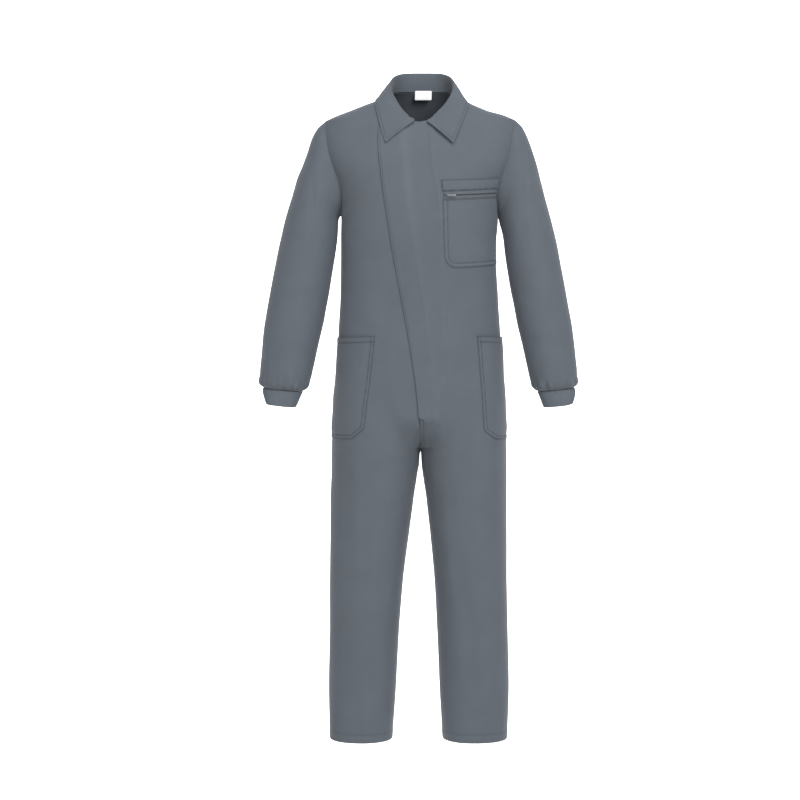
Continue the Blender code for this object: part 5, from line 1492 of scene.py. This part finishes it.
def inside_border(made, inset, top_stop, end_stop=0.0):
    """A line inset from the left and lower outline of a patch, from near its
    top, down, round the corner and along to near its end."""
    outer, n, border, across, up, from_top = made[1:]
    rows, columns = border.shape
    points, normals = [], []
    for j in range(rows - 1, -1, -1):              # down the left edge
        if from_top[j, 0] < top_stop or border[j].max() < inset:
            continue
        c = np.interp(inset, border[j], np.arange(columns))
        if up[j, min(int(c), columns - 1)] < border[j].max() * 0 + inset * 0.98:
            continue
        p, q = on_grid_path(made, [j], [c])
        points.append(p[0]), normals.append(q[0])
    last = points[-1]
    tail = []
    for i in range(1, columns):                    # and along the lower one
        column = border[:, i]
        if column.max() < inset:
            continue
        k = int(np.argmax(column >= inset))
        if k == 0:
            continue
        r = k - 1 + (inset - column[k - 1]) / max(column[k] - column[k - 1], 1e-9)
        p, q = on_grid_path(made, [r], [i])
        tail.append((p[0], q[0], np.linalg.norm(p[0] - last)))
    if tail:
        nearest = int(np.argmin([t[2] for t in tail]))
        for p, q, _ in tail[nearest + 1:]:
            points.append(p), normals.append(q)
    return np.array(points), np.array(normals)


def across_top(made, down):
    outer, n, border, across, up, from_top = made[1:]
    rows, columns = border.shape
    points, normals = [], []
    for i in range(1, columns):
        column = from_top[:, i][::-1]
        r = rows - 1 - np.interp(down, column, np.arange(rows))
        p, q = on_grid_path(made, [r], [i])
        if border[min(int(r), rows - 1), i] > 2.0:
            points.append(p[0]), normals.append(q[0])
    return np.array(points), np.array(normals)


seams = Thread("stitching_fronts")
# the overlap's edge
z = np.linspace(-62, FLY_Z + 4, 260)
p, n = face_path(1, -1, -(OVERLAP.at("out", z) - 4.2 * np.minimum(1, OVERLAP.at("out", z) / 30)), z, -0.25)
seams.row(p, n)
# the double seam under the fly, and the fly's bar tack
for side, x in ((1, 8.0), (1, 1.7)):
    z = np.linspace(-745, -808, 64)
    p, n = face_path(side, -1, np.full(64, x), z)
    seams.row(p, n, radius=0.5)
for k in range(13):
    a = 0.4 + k * 0.7
    z = -742.6 + 0.3 * (k % 2)
    p, n = face_path(1, -1, [a, a], [z, z + 2.4])
    seams.one(p[0] + n[0] * 0.4, p[1] + n[1] * 0.4, n[0], 0.6)
seams.make()

hems = Thread("stitching_hems")
for side in (1, -1):
    for face in (-1, 1):
        u = np.linspace(0.004, 0.996, 150)
        p, n = cloth_at(side, face, u, np.full(150, HEM_Z + 20.0))
        p, n = p + n * -0.05, n
        hems.row(p * [side, 1, 1], n * [side, 1, 1])
hems.make()

pockets = Thread("stitching_pockets")
pockets.row(*inside_border(CHEST_MADE, 2.2, 2.0))
pockets.row(*inside_border(CHEST_MADE, 10.5, 2.0))
pockets.row(*across_top(CHEST_MADE, 2.0))
pockets.row(*inside_border(BAND_MADE, 2.2, 1.0))
pockets.row(*across_top(BAND_MADE, 2.2))
for hip in HIP.values():
    pockets.row(*inside_border(hip["made"], 2.2, 1.0))
    pockets.row(*inside_border(hip["made"], 8.0, 14.5))
    pockets.row(*across_top(hip["made"], 14.0))
pockets.make()

collar_thread = Thread("stitching_collar")


def collar_line(inset):
    """Along the leaf's edge and up both front ends, inset from them."""
    rows, columns = COLLAR_BORDER.shape
    first = int(np.argmax(COLLAR_LEAF[0] > 0.999))
    points, normals = [], []

    def take(r, c):
        j, i = min(int(r), rows - 2), min(int(c), columns - 2)
        f, g = r - j, c - i
        for store, a in ((points, COLLAR_OUT), (normals, COLLAR_N)):
            store.append((a[j, i] * (1 - f) + a[j + 1, i] * f) * (1 - g) + (a[j, i + 1] * (1 - f) + a[j + 1, i + 1] * f) * g)

    def row_where(c, from_start):
        column = COLLAR_ALONG[:, c] if from_start else (COLLAR_ALONG[-1, c] - COLLAR_ALONG[:, c])[::-1]
        r = np.interp(inset, column, np.arange(rows))
        return r if from_start else rows - 1 - r

    edge_column = []
    lengths = row_lengths(COLLAR_OUT)
    for j in range(rows):
        edge_column.append(np.interp(lengths[j, -1] - inset, lengths[j], np.arange(columns)))
    stop = int(np.mean(edge_column))
    for c in range(first, stop):
        take(row_where(c, True), c)
    low, high = row_where(stop, True), row_where(stop, False)
    for j in range(int(low) + 1, int(high)):
        take(j, edge_column[j])
    for c in range(stop - 1, first, -1):
        take(row_where(c, False), c)
    return np.array(points), np.array(normals)


collar_thread.row(*collar_line(5.5), radius=0.38)
collar_thread.make()

# ------------------------------------------------------------- zip and label

SLIDER_X, SLIDER_Z = 67.0, -226.6


def boxes_piece(name, frames, size, look, node=None):
    """Small rounded boxes, each on a frame (point, along, up, off)."""
    w, h, d = size
    plan = np.array([(-.5, -.32), (-.32, -.5), (.32, -.5), (.5, -.32), (.5, .32), (.32, .5), (-.32, .5), (-.5, .32)])
    points, quads, tris = [], [], []
    for p, a, b, n in frames:
        base = len(points)
        for level, grow in ((-0.5, 1.0), (0.25, 1.0), (0.5, 0.78)):
            for q in plan:
                points.append(p + a * q[0] * w * grow + b * q[1] * h * grow + n * level * d)
        for k in range(8):
            m = (k + 1) % 8
            for ring in (0, 8):
                quads.append((base + ring + k, base + ring + m, base + ring + 8 + m, base + ring + 8 + k))
            if 0 < k < 7:
                tris.append((base + 16, base + 16 + k, base + 16 + k + 1))
                tris.append((base, base + k + 1, base + k))
    return mesh_piece(name, settle(np.array(points)), [np.array(quads), np.array(tris)], look, node=node)


def zip_line(lift, x0, x1, pitch):
    """Frames along the chest zip's middle."""
    outer, n = ZIP_MADE[1], ZIP_MADE[2]
    mid, norm = outer[len(ZIP_ROWS) // 2], n[len(ZIP_ROWS) // 2]
    run = np.concatenate([[0], np.cumsum(np.linalg.norm(np.diff(mid, axis=0), axis=1))])
    frames = []
    for s in np.arange(1.0, run[-1] - 1.0, pitch):
        p = np.array([np.interp(s, run, mid[:, k]) for k in range(3)])
        if not x0 < p[0] < x1:
            continue
        q = np.array([np.interp(s + 0.5, run, mid[:, k]) for k in range(3)])
        m = np.array([np.interp(s, run, norm[:, k]) for k in range(3)])
        m /= np.linalg.norm(m)
        a = (q - p) / np.linalg.norm(q - p)
        b = np.cross(m, a)
        frames.append((p + m * lift, a, b, m))
    return frames


teeth = []
for k, (p, a, b, n) in enumerate(zip_line(0.35, 71.5, 186, 0.95)):
    teeth.append((p + b * (0.4 if k % 2 else -0.4), a, b, n))
boxes_piece("chest_zip_teeth", teeth, (0.72, 1.5, 0.7), TAPE)
stops = [(p + b * s * 1.6, a, b, n) for s in (-1, 1) for p, a, b, n in zip_line(0.4, 57.5, 58.6, 0.95)[:1]]
boxes_piece("chest_zip_stops", stops, (1.8, 1.0, 1.2), NICKEL)

# the concealed zip: tape, and its teeth down the middle
rows = np.unique(np.concatenate([np.linspace(-690, -64, 130)]))
zz = rows[:, None]
past = np.minimum(13.0, OVERLAP.at("out", zz) - 4.5)
x = -past + (13.0 + past) * np.linspace(0, 1, 14)[None, :]
turn = -np.maximum(turn_of(np.abs(x), zz, -1), 1e-5)
sign = np.stack([np.where(x > 0, 1.0, -1.0), np.ones_like(x), np.ones_like(x)], -1)
p, n = body_point(turn, zz, -1) * sign * [-1, 1, 1], body_normal(turn, zz, -1) * sign * [-1, 1, 1]
off = folds(-1, x, zz + 0 * x)[..., None] + 0.25
cells, _ = grid_cells(*x.shape)
STRIP = shell("front_zip_tape", p + n * (off + 0.6), p + n * off, cells, np.stack([x, zz + 0 * x], -1), TAPE, node="front_zip")
mid = (p + n * (off + 0.8))[:, 7]
coil = Thread("front_zip_teeth")
coil.row(mid + [0.5, 0, 0], n[:, 7], length=0.8, gap=0.7, radius=0.42, lean=1.2)
coil.row(mid - [0.5, 0, 0], n[:, 7], length=0.8, gap=0.7, radius=0.42, lean=-1.2)
coil.make()

# the label, sewn on inside the back neck, with nothing on it
LABEL = dict(x0=-16.0, x1=23.0, z0=-2.0, z1=19.5, thick=0.8, inside=4.2)


def label():
    w, h = LABEL["x1"] - LABEL["x0"], LABEL["z1"] - LABEL["z0"]
    s, t = np.meshgrid(np.linspace(0, 1, 44), np.linspace(0, 1, 26))
    # rounded corners: the ends of each row draw in near top and bottom
    r = 1.6
    near = np.minimum(t, 1 - t) * h
    draw = np.where(near < r, r - np.sqrt(np.maximum(r * r - (r - near) ** 2, 0)), 0)
    x = LABEL["x0"] + draw + (w - 2 * draw) * s
    z = LABEL["z0"] + h * t
    depth = 62.0 * (1 - (np.abs(x) / 75.0) ** ROUND) ** (1 / ROUND)
    rim = np.minimum(np.minimum(s, 1 - s) * w, near)
    bow = 0.5 * np.sin(math.pi * s) * np.sin(math.pi * t) + 0.25 * np.sin(9 * s + 2) * np.sin(math.pi * t)
    bow = bow + 0.25 * ease(rim / 1.0) - 0.3 * np.exp(-(((rim - 1.6) / 0.6) ** 2))
    y = depth - LABEL["inside"] - bow
    outer = np.stack([x, y, z], -1)
    cells, _ = grid_cells(*x.shape)
    made = shell("neck_label_cloth", outer, outer + [0, 0.6, 0], cells, np.stack([x, z], -1), LABEL_CLOTH, node="neck_label")
    edge = Thread("stitching_label")
    path = []
    for a, b in (((2, 2), (42, 2)), ((42, 2), (42, 24)), ((42, 24), (2, 24)), ((2, 24), (2, 2))):
        for k in range(20):
            i = a[0] + (b[0] - a[0]) * k / 20
            j = a[1] + (b[1] - a[1]) * k / 20
            path.append(outer[int(j), int(i)])
    path = np.array(path)
    edge.row(path, np.tile([0, -1.0, 0], (len(path), 1)), length=1.7, gap=0.9, radius=0.2, sink=0.05)
    thread = edge.make()
    thread.data.materials[0] = LABEL_CLOTH
    return made


LABEL_PIECE = label()

for node in ("zip_slider", "pull_tab"):
    for k in range(max(1, len(bpy.data.objects[node].material_slots))):
        if bpy.data.objects[node].material_slots:
            bpy.data.objects[node].material_slots[k].material = NICKEL
        else:
            bpy.data.objects[node].data.materials.append(NICKEL)


# -------------------------------------------------------- stage, light, view

FLOOR_Z = -1.9


def backdrop():
    """A floor that curves up into a wall behind."""
    path = [(-9.0, 0.0), (5.0, 0.0)]
    path += [(5.0 + 2.0 * math.sin(a), 2.0 - 2.0 * math.cos(a)) for a in np.linspace(0.15, math.pi / 2, 14)]
    path += [(7.0, 9.0)]
    points, faces = [], []
    for x in (-12.0, 12.0):
        points += [(x, y, FLOOR_Z + z) for y, z in path]
    m = len(path)
    for i in range(m - 1):
        faces.append((i, i + m, i + m + 1, i + 1))
    mesh = bpy.data.meshes.new("floor")
    mesh.from_pydata(points, [], faces)
    mesh.shade_smooth()
    m = Nodes("floor_paint")
    place = m.add("ShaderNodeTexCoord").outputs["Object"]
    noise = m.add("ShaderNodeTexNoise", i0=place, Scale=3.0, Detail=3.0).outputs[0]
    m.put(m.shader.inputs["Base Color"], m.mix(noise, (0.9, 0.9, 0.9, 1), (0.94, 0.94, 0.94, 1)))
    m.shader.inputs["Roughness"].default_value = 0.95
    m.shader.inputs["Specular IOR Level"].default_value = 0.1
    mesh.materials.append(m.material)
    made = bpy.data.objects.new("floor", mesh)
    bpy.context.scene.collection.objects.link(made)


backdrop()


def soft_light(name, place, toward, size, power, color=(1, 1, 1)):
    data = bpy.data.lights.new(name, "AREA")
    data.shape = "RECTANGLE"
    data.size, data.size_y = size
    data.energy = power
    data.color = color
    made = bpy.data.objects.new(name, data)
    bpy.context.scene.collection.objects.link(made)
    made.location = place
    from mathutils import Vector
    made.rotation_euler = (Vector(toward) - Vector(place)).to_track_quat("-Z", "Y").to_euler()
    return made


soft_light("key", (2.6, -5.1, 3.3), (0, 0, -0.45), (2.6, 2.6), 352)
soft_light("fill", (-3.0, -5.1, 0.6), (0, 0, -0.8), (3.2, 3.2), 101)
soft_light("top", (0.2, -2.0, 3.4), (0.0, 0.0, 0.0), (1.2, 1.2), 80)
soft_light("wall", (0.0, 2.6, 3.2), (0, 7.0, 0.6), (6.0, 2.0), 780)

world = bpy.data.worlds.new("studio")
bpy.context.scene.world = world
world.use_nodes = True
world.node_tree.nodes["Background"].inputs[0].default_value = (1.0, 1.0, 1.0, 1.0)
world.node_tree.nodes["Background"].inputs[1].default_value = 0.455

bpy.context.scene.view_settings.view_transform = "Standard"
bpy.context.scene.view_settings.look = "None"
bpy.context.scene.view_settings.exposure = 0.0
bpy.context.scene.view_settings.gamma = 1.0

camera = bpy.data.cameras.new("camera")
camera.lens = 115.2
camera.sensor_width = 36.0
camera.clip_end = 100.0
view = bpy.data.objects.new("camera", camera)
bpy.context.scene.collection.objects.link(view)
view.location = (-0.0446, -6.0, -0.25)
view.rotation_euler = (math.pi / 2 - math.atan(455 / 6000), 0.0, 0.0)
bpy.context.scene.camera = view
